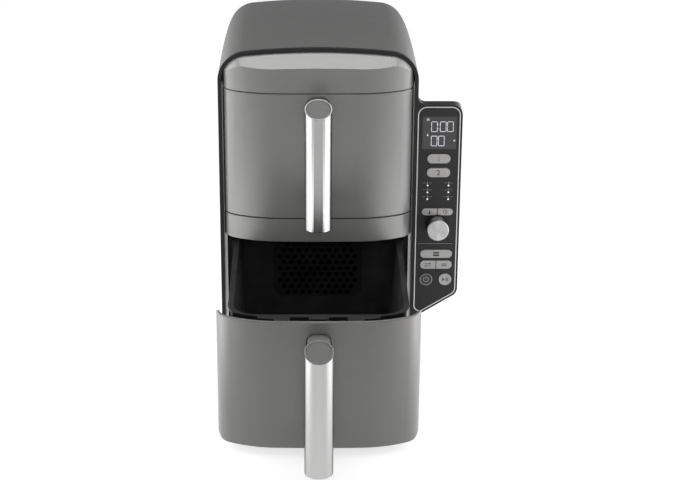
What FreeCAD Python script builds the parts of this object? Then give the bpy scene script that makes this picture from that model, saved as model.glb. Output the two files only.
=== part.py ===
import FreeCAD, Part
import math
import os
import Sketcher
from types import SimpleNamespace

# Stacked two-drawer air fryer, in millimetres.
# x runs to the right, y from the front bezel's face (y = 0) to the rear, z up from the floor.
# Every drawer piece is drawn shut, in the height of its own zone, and then set in its place.

SIZES = {
    # Housing
    "body_half_width": 114.0,
    "crown_rise": 46.1,
    "foot_height": 5.0,
    "foot_radius": 11.0,
    "foot_inset": 22.0,
    "pan_thickness": 3.2,
    "shell_wall": 2.5,
    "roof_corner_radius": 34.0,
    "roof_crown_radius": 800.0,
    "roof_fall_radius": 1750.0,
    "roof_length": 343.0,
    "roof_roll_radius": 36.0,
    "roof_roll_angle": 60.0,
    "rear_cover_depth": 12.0,
    "rear_cover_wall": 3.0,
    "rear_cover_round": 7.0,
    "vent_width": 92.0,
    "vent_height": 4.0,
    "vent_pitch": 9.0,
    "gland_radius": 9.0,
    "gland_reach": 6.0,
    "gland_height": 34.0,
    "gland_offset": 70.0,
    "gland_flange": 2.0,
    "gland_bore_depth": 9.0,
    "pan_round": 8.0,
    "cord_radius": 3.8,
    # Bezel and control wing
    "bezel_depth": 5.0,
    "bezel_band": 4.2,
    "collar_end": 18.0,
    "wing_depth": 14.0,
    "wing_back": 62.0,
    "wing_roof_fall": 26.0,
    "wing_fillet": 9.0,
    "wing_wall": 2.5,
    "wing_upright": 9.0,
    "wing_hollow": 3.0,
    "panel_gap": 0.4,
    "panel_width": 47.7,
    "panel_height": 259.1,
    "panel_fall": 69.5,
    "panel_tilt": 32.0,
    "panel_margin": 2.9,
    "panel_round_top_left": 10.0,
    "panel_round_top_right": 9.5,
    "panel_round_right": 9.0,
    "panel_round_left": 6.5,
    "panel_recess": 2.0,
    "panel_drop": 0.3,
    "trim_width": 1.0,
    "trim_proud": 0.2,
    "board_level": 9.0,
    "board_thickness": 1.6,
    "board_ledge": 1.4,
    # Bowed fronts, common to both drawers and both fascias
    "front_side_gap": 0.4,
    "bow_reach": 22.7,
    "bow_middle_half": 46.0,
    "bow_middle_radius": 1500.0,
    "bow_shoulder_inset": 14.0,
    "bow_shoulder_radius": 120.0,
    "front_height": 149.5,
    "front_skin": 3.0,
    "front_edge_round": 1.2,
    "front_bottom_round": 10.0,
    "seam": 1.0,
    "trim_front": 9.0,
    "side_trim_width": 3.5,
    "fascia_bevel_height": 12.5,
    "fascia_gap": 0.4,
    # Zones
    "zone_lift": 0.8,
    "divider_height": 27.9,
    "fit": 0.3,
    "pull": 220.0,
    # Drawer bracket
    "bracket_wall": 11.0,
    "tab_height": 7.0,
    "tab_inset": 15.0,
    "tab_depth": 3.0,
    "centre_tab_half": 30.5,
    "centre_notch_half": 10.7,
    "centre_notch_drop": 2.5,
    "side_tab_start": 48.0,
    "side_tab_step": 65.0,
    "tab_slot_width": 6.0,
    "tab_slot_height": 3.0,
    "tab_slot_offset": 10.3,
    "tab_slot_pitch": 14.5,
    # Basket
    "rim_play": 5.0,
    "rim_drop": 8.0,
    "rim_thickness": 2.0,
    "rim_reach": 4.0,
    "basket_gap": 7.0,
    "basket_floor": 13.5,
    "basket_draft": 8.0,
    "basket_wall": 2.0,
    "basket_round": 28.0,
    "screen_half_width": 53.5,
    "screen_height": 72.0,
    "screen_drop": 52.0,
    "screen_lap": 3.0,
    "screen_round": 14.0,
    "screen_thickness": 1.2,
    "hex_pitch": 9.0,
    "hex_radius": 3.4,
    "plate_gap": 3.0,
    "plate_level": 27.0,
    "plate_thickness": 2.0,
    "plate_slot_width": 5.0,
    "plate_slot_length": 62.0,
    "plate_slot_pitch": 16.0,
    "bumper_radius": 6.0,
    "bumper_inset": 26.0,
    # Handle
    "handle_radius": 15.2,
    "handle_wall": 1.3,
    "handle_offset": 48.3,
    "handle_bottom": 7.8,
    "handle_drop": 1.9,
    "handle_slant": 25.0,
    "lower_handle_drop": 9.5,
    "cap_inset": 0.8,
    "post_half_width": 12.3,
    "post_height": 22.0,
    "post_round": 8.0,
    "post_drop": 4.8,
    "post_ring": 1.0,
    "screw_radius": 2.0,
    "screw_head_radius": 4.0,
    "screw_head_height": 3.0,
    "screw_head_gap": 1.0,
    "screw_bite": 16.0,
    # Cooking chamber
    "liner_space": 9.0,
    "liner_wall": 1.5,
    "liner_low": 7.5,
    "motor_space": 62.0,
    "flange_gap": 0.5,
    "rail_drop": 42.0,
    "rail_thickness": 2.0,
    "rail_window_length": 34.0,
    "rail_window_height": 24.0,
    "rail_window_pitch": 56.0,
    "grille_space": 53.0,
    "grille_thickness": 1.2,
    "grille_slot_pitch": 11.0,
    "grille_slot_height": 5.0,
    "grille_slot_width": 96.0,
    "heater_clearance": 6.3,
    "heater_rod_radius": 3.2,
    "heater_gap": 10.0,
    "heater_pitch": 11.0,
    "heater_leg_radius": 2.6,
    "fan_radius": 46.0,
    "fan_hub_radius": 10.0,
    "fan_gap": 13.0,
    "fan_depth": 20.0,
    "blade_thickness": 1.4,
    "blade_count": 8,
    "shaft_radius": 3.0,
    "shaft_hole_radius": 6.0,
    "shaft_play": 0.05,
    "shaft_collar_radius": 4.8,
    "fan_nut_radius": 6.0,
    "motor_radius": 28.0,
    "motor_length": 22.0,
    "motor_plate": 2.0,
    "motor_plate_half": 32.0,
    "power_board_half_width": 62.0,
    "power_board_start": 62.0,
    "power_board_length": 120.0,
    "standoff_height": 5.0,
    "standoff_inset": 6.0,
    "transformer_width": 31.0,
    "transformer_length": 48.0,
    "transformer_height": 13.0,
    "transformer_offset": 28.0,
    "capacitor_radius": 5.0,
    "capacitor_height": 11.0,
    "capacitor_offset": 18.6,
    "capacitor_pitch": 30.0,
    # Controls
    "button_proud": 1.0,
    "button_gap": 0.3,
    "button_depth": 5.6,
    "lip_reach": 0.8,
    "lip_thickness": 1.0,
    "control_shift": 0.75,
    "encoder_radius": 7.5,
    "display_half_width": 19.4,
    "display_height": 39.0,
    "display_drop": 11.5,
    "display_gap": 6.0,
    "zone_button_half_width": 13.3,
    "zone_button_half_height": 5.5,
    "zone_button_gap": 6.0,
    "lamp_offset": 12.1,
    "lamp_radius": 0.9,
    "lamp_gap": 10.5,
    "lamp_pitch": 8.5,
    "pair_half_width": 17.9,
    "split_gap": 0.9,
    "upper_pair_gap": 11.4,
    "upper_pair_half_height": 4.1,
    "dial_gap": 0.2,
    "dial_radius": 12.7,
    "dial_length": 15.5,
    "dial_skirt_reach": 0.9,
    "dial_skirt": 2.0,
    "dial_clearance": 1.1,
    "dial_round": 1.0,
    "wide_gap": 18.3,
    "wide_half_width": 18.6,
    "wide_half_height": 5.0,
    "lower_pair_gap": 3.7,
    "lower_pair_half_height": 5.1,
    "round_gap": 5.9,
    "round_button_offset": 11.2,
    "power_button_radius": 7.8,
    "start_button_radius": 7.4,
}


VENT_ROWS = 7
LAMP_ROWS = 3
GRILLE_ROWS = 9
EIGHTH_TURN = 45.0
QUARTER_TURN = 90.0


class Size:
    """A number of the model with the sheet expression that it comes from."""

    def __init__(self, value, text):
        self.value = float(value)
        self.text = text

    def __add__(self, other):
        other = as_size(other)
        return Size(self.value + other.value, "(%s + %s)" % (self.text, other.text))

    __radd__ = __add__

    def __neg__(self):
        return Size(-self.value, "(-%s)" % self.text)

    def __sub__(self, other):
        other = as_size(other)
        return Size(self.value - other.value, "(%s - %s)" % (self.text, other.text))

    def __rsub__(self, other):
        return as_size(other) - self

    def __mul__(self, other):
        other = as_size(other)
        return Size(self.value * other.value, "(%s * %s)" % (self.text, other.text))

    __rmul__ = __mul__

    def __truediv__(self, other):
        other = as_size(other)
        return Size(self.value / other.value, "(%s / %s)" % (self.text, other.text))


ZERO = repr(0.0)


def as_size(number):
    if isinstance(number, Size):
        return number
    return Size(number, repr(float(number)))


def root(size):
    return Size(math.sqrt(size.value), "sqrt(%s)" % size.text)


def sine(size):
    return Size(math.sin(math.radians(size.value)), "sin(%s)" % size.text)


def cosine(size):
    return Size(math.cos(math.radians(size.value)), "cos(%s)" % size.text)


def tangent(size):
    return Size(math.tan(math.radians(size.value)), "tan(%s)" % size.text)


doc = FreeCAD.newDocument("air_fryer")
sheet = doc.addObject("Spreadsheet::Sheet", "sizes")
for row, (alias, value) in enumerate(SIZES.items(), start=1):
    sheet.set("A%d" % row, alias)
    sheet.set("B%d" % row, str(value))
    sheet.setAlias("B%d" % row, alias)
doc.recompute()
s = SimpleNamespace(**{alias: Size(value, "sizes." + alias) for alias, value in SIZES.items()})


# Binding and sketching

def bind(target, path, size):
    """Ties one property of an object to its sheet expression."""
    target.setExpression(path, as_size(size).text)


def line(x, y):
    """A straight edge to (x, y)."""
    return (as_size(x), as_size(y), None)


def arc(x, y, radius, turn):
    """An arc to (x, y), under half a circle; turn is 1 to the left and -1 to the right."""
    return (as_size(x), as_size(y), (as_size(radius), turn))


def backwards(path):
    """The same chain of edges, walked from its end to its start."""
    out = [line(path[-1][0], path[-1][1])]
    for index in range(len(path) - 1, 0, -1):
        x, y, _ = path[index - 1]
        bend = path[index][2]
        if bend is not None:
            bend = (bend[0], -bend[1])
        out.append((x, y, bend))
    return out


def arc_curve(start, end, radius, turn):
    """The arc between two points, and whether it starts at the first of them."""
    dx, dy = end.x - start.x, end.y - start.y
    span = math.hypot(dx, dy)
    rise = math.sqrt(max(radius * radius - span * span / 4.0, 0.0)) * turn
    centre = FreeCAD.Vector(
        (start.x + end.x) / 2.0 - dy / span * rise, (start.y + end.y) / 2.0 + dx / span * rise, 0.0
    )
    first, last = (start, end) if turn > 0 else (end, start)
    low = math.atan2(first.y - centre.y, first.x - centre.x)
    high = math.atan2(last.y - centre.y, last.x - centre.x)
    if high < low:
        high += 2.0 * math.pi
    circle = Part.Circle(centre, FreeCAD.Vector(0, 0, 1), radius)
    return Part.ArcOfCircle(circle, low, high), turn > 0


def pin_point(sketch, bound, geometry, position, x, y):
    """Fixes one point of a sketch by its two distances from the sketch's origin."""
    for kind, size, axis in (("DistanceX", x, -2), ("DistanceY", y, -1)):
        if size.text == ZERO:
            sketch.addConstraint(Sketcher.Constraint("PointOnObject", geometry, position, axis))
            continue
        number = sketch.addConstraint(
            Sketcher.Constraint(kind, -1, 1, geometry, position, size.value)
        )
        bound.append((number, size))


def draw_chain(sketch, bound, chain, closed):
    """Draws one chain of lines and arcs, joined end to end."""
    points = [FreeCAD.Vector(x.value, y.value, 0) for x, y, _ in chain]
    ends = []
    count = len(chain) if closed else len(chain) - 1
    for index in range(count):
        after = (index + 1) % len(chain)
        bend = chain[after][2]
        if bend is None:
            geometry = sketch.addGeometry(Part.LineSegment(points[index], points[after]), False)
            ends.append((geometry, 1, 2))
        else:
            curve, onward = arc_curve(points[index], points[after], bend[0].value, bend[1])
            geometry = sketch.addGeometry(curve, False)
            ends.append((geometry, 1, 2) if onward else (geometry, 2, 1))
            number = sketch.addConstraint(Sketcher.Constraint("Radius", geometry, bend[0].value))
            bound.append((number, bend[0]))
    for index, (geometry, first, last) in enumerate(ends):
        if index or closed:
            before = ends[index - 1]
            sketch.addConstraint(
                Sketcher.Constraint("Coincident", before[0], before[2], geometry, first)
            )
        pin_point(sketch, bound, geometry, first, chain[index][0], chain[index][1])
    if not closed:
        pin_point(sketch, bound, ends[-1][0], ends[-1][2], chain[-1][0], chain[-1][1])


def draw_circle(sketch, bound, x, y, radius):
    centre = FreeCAD.Vector(as_size(x).value, as_size(y).value, 0)
    circle = Part.Circle(centre, FreeCAD.Vector(0, 0, 1), as_size(radius).value)
    geometry = sketch.addGeometry(circle, False)
    number = sketch.addConstraint(Sketcher.Constraint("Radius", geometry, as_size(radius).value))
    bound.append((number, as_size(radius)))
    pin_point(sketch, bound, geometry, 3, as_size(x), as_size(y))


def draw(sketch, loops, closed=True):
    """Draws loops, each a chain of edges or a circle (x, y, radius), and binds their sizes."""
    bound = []
    for loop in loops:
        if isinstance(loop, tuple):
            draw_circle(sketch, bound, *loop)
        else:
            draw_chain(sketch, bound, loop, closed)
    for number, size in bound:
        sketch.setExpression("Constraints[%d]" % number, size.text)


def rectangle(x0, x1, y0, y1):
    return [line(x0, y0), line(x1, y0), line(x1, y1), line(x0, y1)]


def rounded(x0, x1, y0, y1, radius):
    """A rectangle with four round corners."""
    return [
        arc(x0 + radius, y0, radius, 1),
        line(x1 - radius, y0),
        arc(x1, y0 + radius, radius, 1),
        line(x1, y1 - radius),
        arc(x1 - radius, y1, radius, 1),
        line(x0 + radius, y1),
        arc(x0, y1 - radius, radius, 1),
        line(x0, y0 + radius),
    ]


def octagon(x, y, radius):
    """A regular octagon about a circle of the given radius."""
    half_side = radius * tangent(as_size(EIGHTH_TURN / 2.0))
    return [
        line(x - half_side, y - radius),
        line(x + half_side, y - radius),
        line(x + radius, y - half_side),
        line(x + radius, y + half_side),
        line(x + half_side, y + radius),
        line(x - half_side, y + radius),
        line(x - radius, y + half_side),
        line(x - radius, y - half_side),
    ]


def pill(x, y, half_width, half_height, grow=0.0):
    """A bar with round ends, each end drawn as two quarter circles."""
    radius = half_height + grow
    reach = half_width - half_height
    return [
        arc(x - reach, y - radius, radius, 1),
        line(x + reach, y - radius),
        arc(x + reach + radius, as_size(y), radius, 1),
        arc(x + reach, y + radius, radius, 1),
        line(x - reach, y + radius),
        arc(x - reach - radius, as_size(y), radius, 1),
    ]


def half_pill(x, y, half_width, half_height, gap, side, grow=0.0):
    """One half of a split bar: round on its outer end, flat at the split."""
    radius = half_height + grow
    flat = x + side * (gap / 2.0 - grow)
    bend = x + side * (half_width - half_height)
    tip = x + side * (half_width + grow)
    return [
        line(flat, y - radius),
        line(bend, y - radius),
        arc(tip, as_size(y), radius, side),
        arc(bend, y + radius, radius, side),
        line(flat, y + radius),
    ]


class Piece:
    """One solid piece, grown feature by feature in a body of its own."""

    def __init__(self, label):
        self.label = label
        self.body = doc.addObject("PartDesign::Body", label)
        self.body.Label = label
        self.body.AllowCompound = True
        self.count = 0

    def origin(self, role):
        return next(item for item in self.body.Origin.OriginFeatures if item.Role == role)

    def feature(self, kind):
        self.count += 1
        name = "%s_%s_%d" % (self.label, kind.lower(), self.count)
        return self.body.newObject("PartDesign::" + kind, name)

    def sketch(self, plane, level, loops, closed=True):
        """A sketch on one of the body's own planes, moved along the plane's normal."""
        self.count += 1
        name = "%s_sketch_%d" % (self.label, self.count)
        sketch = self.body.newObject("Sketcher::SketchObject", name)
        sketch.AttachmentSupport = [(self.origin(plane), "")]
        sketch.MapMode = "FlatFace"
        bind(sketch, "AttachmentOffset.Base.z", level)
        draw(sketch, loops, closed)
        return sketch

    def spread(self, kind, plane, low, high, loops):
        low, high = as_size(low), as_size(high)
        level = -high if plane == "XZ_Plane" else low
        sketch = self.sketch(plane, level, loops)
        feature = self.feature(kind)
        feature.Profile = sketch
        bind(feature, "Length", high - low)
        return feature

    def pad(self, plane, low, high, *loops):
        """Adds the loops' area between two levels."""
        self.spread("Pad", plane, low, high, loops)
        return self

    def pocket(self, plane, low, high, *loops):
        """Takes the loops' area away between two levels."""
        doc.recompute()
        before = self.body.Shape.Volume
        feature = self.spread("Pocket", plane, low, high, loops)
        feature.Reversed = True
        doc.recompute()
        if self.body.Shape.Volume >= before:
            raise RuntimeError("%s cuts nothing" % feature.Name)
        return self

    def revolve(self, *loops):
        """Turns loops drawn in the YZ plane once about the body's y axis."""
        sketch = self.sketch("YZ_Plane", 0.0, loops)
        feature = self.feature("Revolution")
        feature.Profile = sketch
        feature.ReferenceAxis = (self.origin("Y_Axis"), [""])
        feature.Angle = 360.0
        return self

    def loft(self, kind, plane, low, low_loop, high, high_loop):
        """A straight-sided loft between two outlines."""
        flip = -1.0 if plane == "XZ_Plane" else 1.0
        feature_ends = [self.sketch(plane, flip * low, [low_loop])]
        feature_ends.append(self.sketch(plane, flip * high, [high_loop]))
        feature = self.feature(kind)
        feature.Profile = feature_ends[0]
        feature.Sections = feature_ends[1:]
        feature.Ruled = True
        return self

    def sweep(self, plane, level, loop, path_plane, path):
        """Carries an outline along a path without turning it."""
        outline = self.sketch(plane, level, [loop])
        spine = self.sketch(path_plane, 0.0, [path], closed=False)
        doc.recompute()
        feature = self.feature("AdditivePipe")
        feature.Profile = outline
        edges = ["Edge%d" % number for number in range(1, len(path))]
        feature.Spine = (spine, edges)
        feature.Mode = "Fixed"
        return self

    def row(self, axis, pitch, count):
        """Repeats the last feature along one of the body's axes."""
        original = self.body.Tip
        feature = self.feature("LinearPattern")
        feature.Originals = [original]
        feature.Direction = (self.origin(axis), [""])
        bind(feature, "Length", as_size(pitch) * (count - 1))
        feature.Occurrences = count
        self.body.Tip = feature
        return self

    def ring(self, axis, count):
        """Repeats the last feature round one of the body's axes."""
        original = self.body.Tip
        feature = self.feature("PolarPattern")
        feature.Originals = [original]
        feature.Axis = (self.origin(axis), [""])
        feature.Angle = 360.0
        bind(feature, "Occurrences", count)
        self.body.Tip = feature
        return self

    def soften(self, radius, wanted):
        """Rounds each edge that the test accepts."""
        doc.recompute()
        base = self.body.Tip
        names = []
        for number, edge in enumerate(base.Shape.Edges, start=1):
            if wanted(edge):
                names.append("Edge%d" % number)
        feature = self.feature("Fillet")
        feature.Base = (base, names)
        bind(feature, "Radius", radius)
        return self


finished = []


def settle(target, label, x=0.0, y=0.0, z=0.0):
    """Names a finished piece and sets it in its place."""
    target.Label = label
    for axis, size in (("x", x), ("y", y), ("z", z)):
        bind(target, "Placement.Base." + axis, size)
    finished.append(target)


def combine(kind, label, base, tool):
    """A boolean of two pieces, such as Part::Cut or Part::Common."""
    target = doc.addObject(kind, label)
    target.Base = base
    target.Tool = tool
    return target


def rod(name, radius, x, y0, y1, z):
    """A cylinder along y."""
    target = doc.addObject("Part::Cylinder", name)
    bind(target, "Radius", radius)
    bind(target, "Height", as_size(y1) - as_size(y0))
    target.Placement.Rotation = FreeCAD.Rotation(FreeCAD.Vector(1, 0, 0), -90)
    bind(target, "Placement.Base.x", x)
    bind(target, "Placement.Base.y", y0)
    bind(target, "Placement.Base.z", z)
    return target


def column(name, radius, x, y, z0, z1):
    """A cylinder along z."""
    target = doc.addObject("Part::Cylinder", name)
    bind(target, "Radius", radius)
    bind(target, "Height", as_size(z1) - as_size(z0))
    bind(target, "Placement.Base.x", x)
    bind(target, "Placement.Base.y", y)
    bind(target, "Placement.Base.z", z0)
    return target


def group(label, members):
    """Separate like solids that share one node."""
    target = doc.addObject("Part::Compound", label)
    target.Links = members
    return target


def near(number, size):
    return abs(number - as_size(size).value) < 0.02


# Shared outlines

pan_top = s.foot_height + s.pan_thickness
lower_base = pan_top + s.zone_lift
divider_low = lower_base + s.front_height + s.seam
divider_high = divider_low + s.divider_height
upper_base = divider_high + s.seam
fascia_low = upper_base + s.front_height + s.seam
body_height = fascia_low + s.crown_rise
crown_centre = body_height - s.roof_crown_radius
corner_x = s.body_half_width - s.roof_corner_radius
corner_reach = s.roof_crown_radius - s.roof_corner_radius
corner_z = crown_centre + root(corner_reach * corner_reach - corner_x * corner_x)


def arch(inset, floor, fall=0.0):
    """The housing's front outline, set in by a wall: up one side, over the crown and down."""
    inset = as_size(inset)
    half = s.body_half_width - inset
    corner = s.roof_corner_radius - inset
    crown = s.roof_crown_radius - inset
    join_x = crown * corner_x / corner_reach
    join_z = crown_centre + crown * (corner_z - crown_centre) / corner_reach
    return [
        line(-half, floor),
        line(-half, corner_z - fall),
        arc(-join_x, join_z - fall, corner, -1),
        arc(join_x, join_z - fall, crown, -1),
        arc(half, corner_z - fall, corner, -1),
        line(half, floor),
    ]


def arch_band(outer, inner, floor):
    """The closed band between two arches."""
    return arch(outer, floor) + backwards(arch(inner, floor))


front_half_width = s.body_half_width - s.bezel_band - s.front_side_gap
bow_shoulder_half = front_half_width - s.bow_shoulder_inset
bow_sine_1 = s.bow_middle_half / s.bow_middle_radius
bow_sine_2 = bow_sine_1 + (bow_shoulder_half - s.bow_middle_half) / s.bow_shoulder_radius
bow_cosine_1 = root(1.0 - bow_sine_1 * bow_sine_1)
bow_cosine_2 = root(1.0 - bow_sine_2 * bow_sine_2)
bow_corner_radius = s.bow_shoulder_inset / (1.0 - bow_sine_2)
bow_y_1 = s.bow_middle_radius * (1.0 - bow_cosine_1) - s.bow_reach
bow_y_2 = bow_y_1 + s.bow_shoulder_radius * (bow_cosine_1 - bow_cosine_2)
bow_corner_x = bow_shoulder_half - bow_corner_radius * bow_sine_2
bow_corner_y = bow_y_2 + bow_corner_radius * bow_cosine_2


def bow(inset, back):
    """The plan of a bowed front, set in by a skin and cut flat at its back."""
    inset = as_size(inset)
    corner = bow_corner_radius - inset
    depth = bow_corner_y - back
    end_x = bow_corner_x + root(corner * corner - depth * depth)
    x_1 = s.bow_middle_half - inset * bow_sine_1
    y_1 = bow_y_1 + inset * bow_cosine_1
    x_2 = bow_shoulder_half - inset * bow_sine_2
    y_2 = bow_y_2 + inset * bow_cosine_2
    return [
        line(-end_x, back),
        arc(-x_2, y_2, corner, 1),
        arc(-x_1, y_1, s.bow_shoulder_radius - inset, 1),
        arc(x_1, y_1, s.bow_middle_radius - inset, 1),
        arc(x_2, y_2, s.bow_shoulder_radius - inset, 1),
        arc(end_x, back, corner, 1),
    ]


panel_left = s.body_half_width + s.panel_gap
panel_right = panel_left + s.panel_width
panel_top = body_height - s.panel_fall


def wing_side(grow):
    """The control panel's right side, from its slanted lower edge up to its top."""
    right = panel_right + grow
    top = panel_top + grow
    bend = s.panel_round_right + grow
    cut = bend * tangent((90.0 - s.panel_tilt) / 2.0)
    corner = s.panel_round_top_right + grow
    low = wing_floor(right, grow)
    return [
        line(right - cut * cosine(s.panel_tilt), low - cut * sine(s.panel_tilt)),
        arc(right, low + cut, bend, 1),
        line(right, top - corner),
        arc(right - corner, top, corner, 1),
    ]


def wing_floor(x, grow):
    """The height of the slanted lower edge, moved outwards, at a distance x."""
    slope = tangent(s.panel_tilt)
    low_left = panel_top - s.panel_height
    return low_left + (x - panel_left) * slope - grow / cosine(s.panel_tilt)


def wing(grow):
    """The control panel's closed outline, grown outwards."""
    grow = as_size(grow)
    left = panel_left - grow
    bend = s.panel_round_left + grow
    cut = bend * tangent((90.0 + s.panel_tilt) / 2.0)
    corner = s.panel_round_top_left + grow
    low = wing_floor(left, grow)
    top = panel_top + grow
    start = arc(left + cut * cosine(s.panel_tilt), low + cut * sine(s.panel_tilt), bend, 1)
    finish = [line(left + corner, top), arc(left, top - corner, corner, 1), line(left, low + cut)]
    return [start] + wing_side(grow) + finish


def wing_body():
    """The wing's outer outline, blended into the bezel's side at its top."""
    half = s.body_half_width
    top = panel_top + s.panel_margin
    start = line(half, wing_floor(half, s.panel_margin))
    blend = arc(half, top + s.wing_fillet, s.wing_fillet, -1)
    return [start] + wing_side(s.panel_margin) + [line(half + s.wing_fillet, top), blend]


roof_sine = s.roof_length / s.roof_fall_radius
roof_cosine = root(1.0 - roof_sine * roof_sine)
roll_start_y = s.bezel_depth + s.roof_length
roll_start_z = body_height - s.roof_fall_radius * (1.0 - roof_cosine)
shell_end = roll_start_y + s.roof_roll_radius * (sine(s.roof_roll_angle) - roof_sine)
roll_end_z = roll_start_z - s.roof_roll_radius * (roof_cosine - cosine(s.roof_roll_angle))
roof_drop = body_height - roll_end_z
rear_face = shell_end + s.rear_cover_depth
drawer_back = s.trim_front - s.fit
handle_y = -s.bow_reach - s.handle_offset
bracket_front = s.front_skin + s.fit - s.bow_reach
liner_half_width = s.body_half_width - s.shell_wall - s.liner_space
liner_inner = liner_half_width - s.liner_wall
liner_high = s.front_height
liner_end = rear_face - s.motor_space
grille_level = liner_end - s.grille_space
heater_level = grille_level + s.heater_gap
fan_level = heater_level + s.fan_gap
fan_centre = (s.liner_low + liner_high) / 2.0
rim_half_width = liner_inner - s.rail_thickness - s.rim_play
rim_height = s.front_height - s.rim_drop
basket_front = drawer_back + s.rim_reach
basket_rear = grille_level - s.basket_gap
screen_centre = rim_height - s.screen_drop
wing_right = panel_right + s.panel_margin
middle_x = (wing_right - s.body_half_width) / 2.0
middle_y = (rear_face + s.gland_reach + handle_y - s.handle_radius - s.pull) / 2.0


def settle_fixed(target, label, z=0.0):
    """Sets a piece of the housing with the origin under the middle of the whole object."""
    settle(target, label, -middle_x, -middle_y, z)


# Base, feet and shell

def make_base():
    half = s.body_half_width
    pan = Piece("base_pan")
    pan.pad("XY_Plane", s.foot_height, pan_top, rounded(-half, half, 0.0, rear_face, s.pan_round))
    settle_fixed(pan.body, "base_pan")
    feet = []
    for side in (-1, 1):
        for y in (s.foot_inset, rear_face - s.foot_inset):
            x = side * (half - s.foot_inset)
            feet.append(column("foot_%d" % len(feet), s.foot_radius, x, y, 0.0, s.foot_height))
    settle_fixed(group("rubber_feet", feet), "rubber_feet")


def make_shell():
    shell = Piece("outer_wrap")
    path = [
        line(s.bezel_depth, body_height),
        arc(roll_start_y, roll_start_z, s.roof_fall_radius, -1),
        arc(shell_end, roll_end_z, s.roof_roll_radius, -1),
    ]
    band = arch_band(0.0, s.shell_wall, pan_top)
    shell.sweep("XZ_Plane", -s.bezel_depth, band, "YZ_Plane", path)
    half = s.body_half_width + s.seam
    below = rectangle(-half, half, s.bezel_depth - s.seam, shell_end + s.seam)
    shell.pocket("XY_Plane", pan_top - roof_drop - s.seam, pan_top, below)
    settle_fixed(shell.body, "outer_wrap")


def make_rear_cover():
    cover = Piece("rear_cover")
    cover.pad("XZ_Plane", shell_end, rear_face, arch(0.0, pan_top, roof_drop))

    def outer_edge(edge):
        at_rear = all(near(vertex.Y, rear_face) for vertex in edge.Vertexes)
        on_pan = all(near(vertex.Z, pan_top) for vertex in edge.Vertexes)
        return at_rear and not on_pan

    cover.soften(s.rear_cover_round, outer_edge)
    floor = pan_top + s.rear_cover_wall
    inside = arch(s.rear_cover_wall, floor, roof_drop)
    cover.pocket("XZ_Plane", shell_end - s.seam, rear_face - s.rear_cover_wall, inside)
    skin = rear_face - s.rear_cover_wall - s.seam
    for base in (lower_base, upper_base):
        low = base + fan_centre - s.vent_pitch * (VENT_ROWS - 1) / 2.0 - s.vent_height / 2.0
        slot = rectangle(-s.vent_width / 2.0, s.vent_width / 2.0, low, low + s.vent_height)
        cover.pocket("XZ_Plane", skin, rear_face + s.seam, slot)
        cover.row("Z_Axis", s.vent_pitch, VENT_ROWS)
    neck = s.gland_radius - s.gland_flange
    hole = (-s.gland_offset, s.gland_height, neck + s.shaft_play)
    cover.pocket("XZ_Plane", skin, rear_face + s.seam, hole)
    settle_fixed(cover.body, "rear_cover")
    gland = Piece("cord_gland")
    place = (-s.gland_offset, s.gland_height)
    gland.pad("XZ_Plane", skin, rear_face, place + (neck,))
    gland.pad("XZ_Plane", rear_face, rear_face + s.gland_flange, place + (s.gland_radius,))
    gland.pad("XZ_Plane", rear_face, rear_face + s.gland_reach, place + (neck,))
    mouth = rear_face + s.gland_reach
    gland.pocket("XZ_Plane", mouth - s.gland_bore_depth, mouth, place + (s.cord_radius,))
    settle_fixed(gland.body, "cord_gland")


# Bezel, control wing and fascias

def make_bezel():
    bezel = Piece("front_bezel")
    bezel.pad("XZ_Plane", 0.0, s.bezel_depth, arch_band(0.0, s.bezel_band, pan_top))
    collar = arch_band(s.shell_wall + s.fit, s.bezel_band, pan_top)
    bezel.pad("XZ_Plane", s.bezel_depth, s.collar_end, collar)
    bezel.pad("XZ_Plane", 0.0, s.wing_depth, wing_body())
    seat = s.trim_width / 2.0 + s.shaft_play
    bezel.pocket("XZ_Plane", -s.seam, s.panel_recess, wing(seat))
    opening = wing(-s.wing_wall - s.board_ledge)
    bezel.pocket("XZ_Plane", s.panel_recess, s.board_level, opening)
    bezel.pocket("XZ_Plane", s.board_level, s.wing_depth + s.seam, wing(-s.wing_wall))
    settle_fixed(bezel.body, "front_bezel")


def make_panel_housing():
    back = Piece("panel_housing")
    back.pad("XZ_Plane", s.wing_depth, s.wing_back, wing_body())
    edge = wing_right + s.seam
    slope_start = s.wing_depth + s.wing_upright
    taper = [
        line(edge, slope_start),
        line(edge, s.wing_back + s.seam),
        line(s.body_half_width + s.wing_fillet, s.wing_back + s.seam),
    ]
    top = panel_top + s.panel_margin
    above = top + s.wing_fillet + s.seam
    back.pocket("XY_Plane", s.foot_height, above, taper)
    fall = [
        line(s.wing_depth, top),
        line(s.wing_back + s.seam, top - s.wing_roof_fall),
        line(s.wing_back + s.seam, above),
        line(s.wing_depth, above),
    ]
    back.pocket("YZ_Plane", s.body_half_width - s.seam, edge, fall)
    hollow = wing(-s.wing_wall)
    back.pocket("XZ_Plane", s.wing_depth - s.seam, s.wing_depth + s.wing_hollow, hollow)
    settle_fixed(back.body, "panel_housing")


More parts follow.
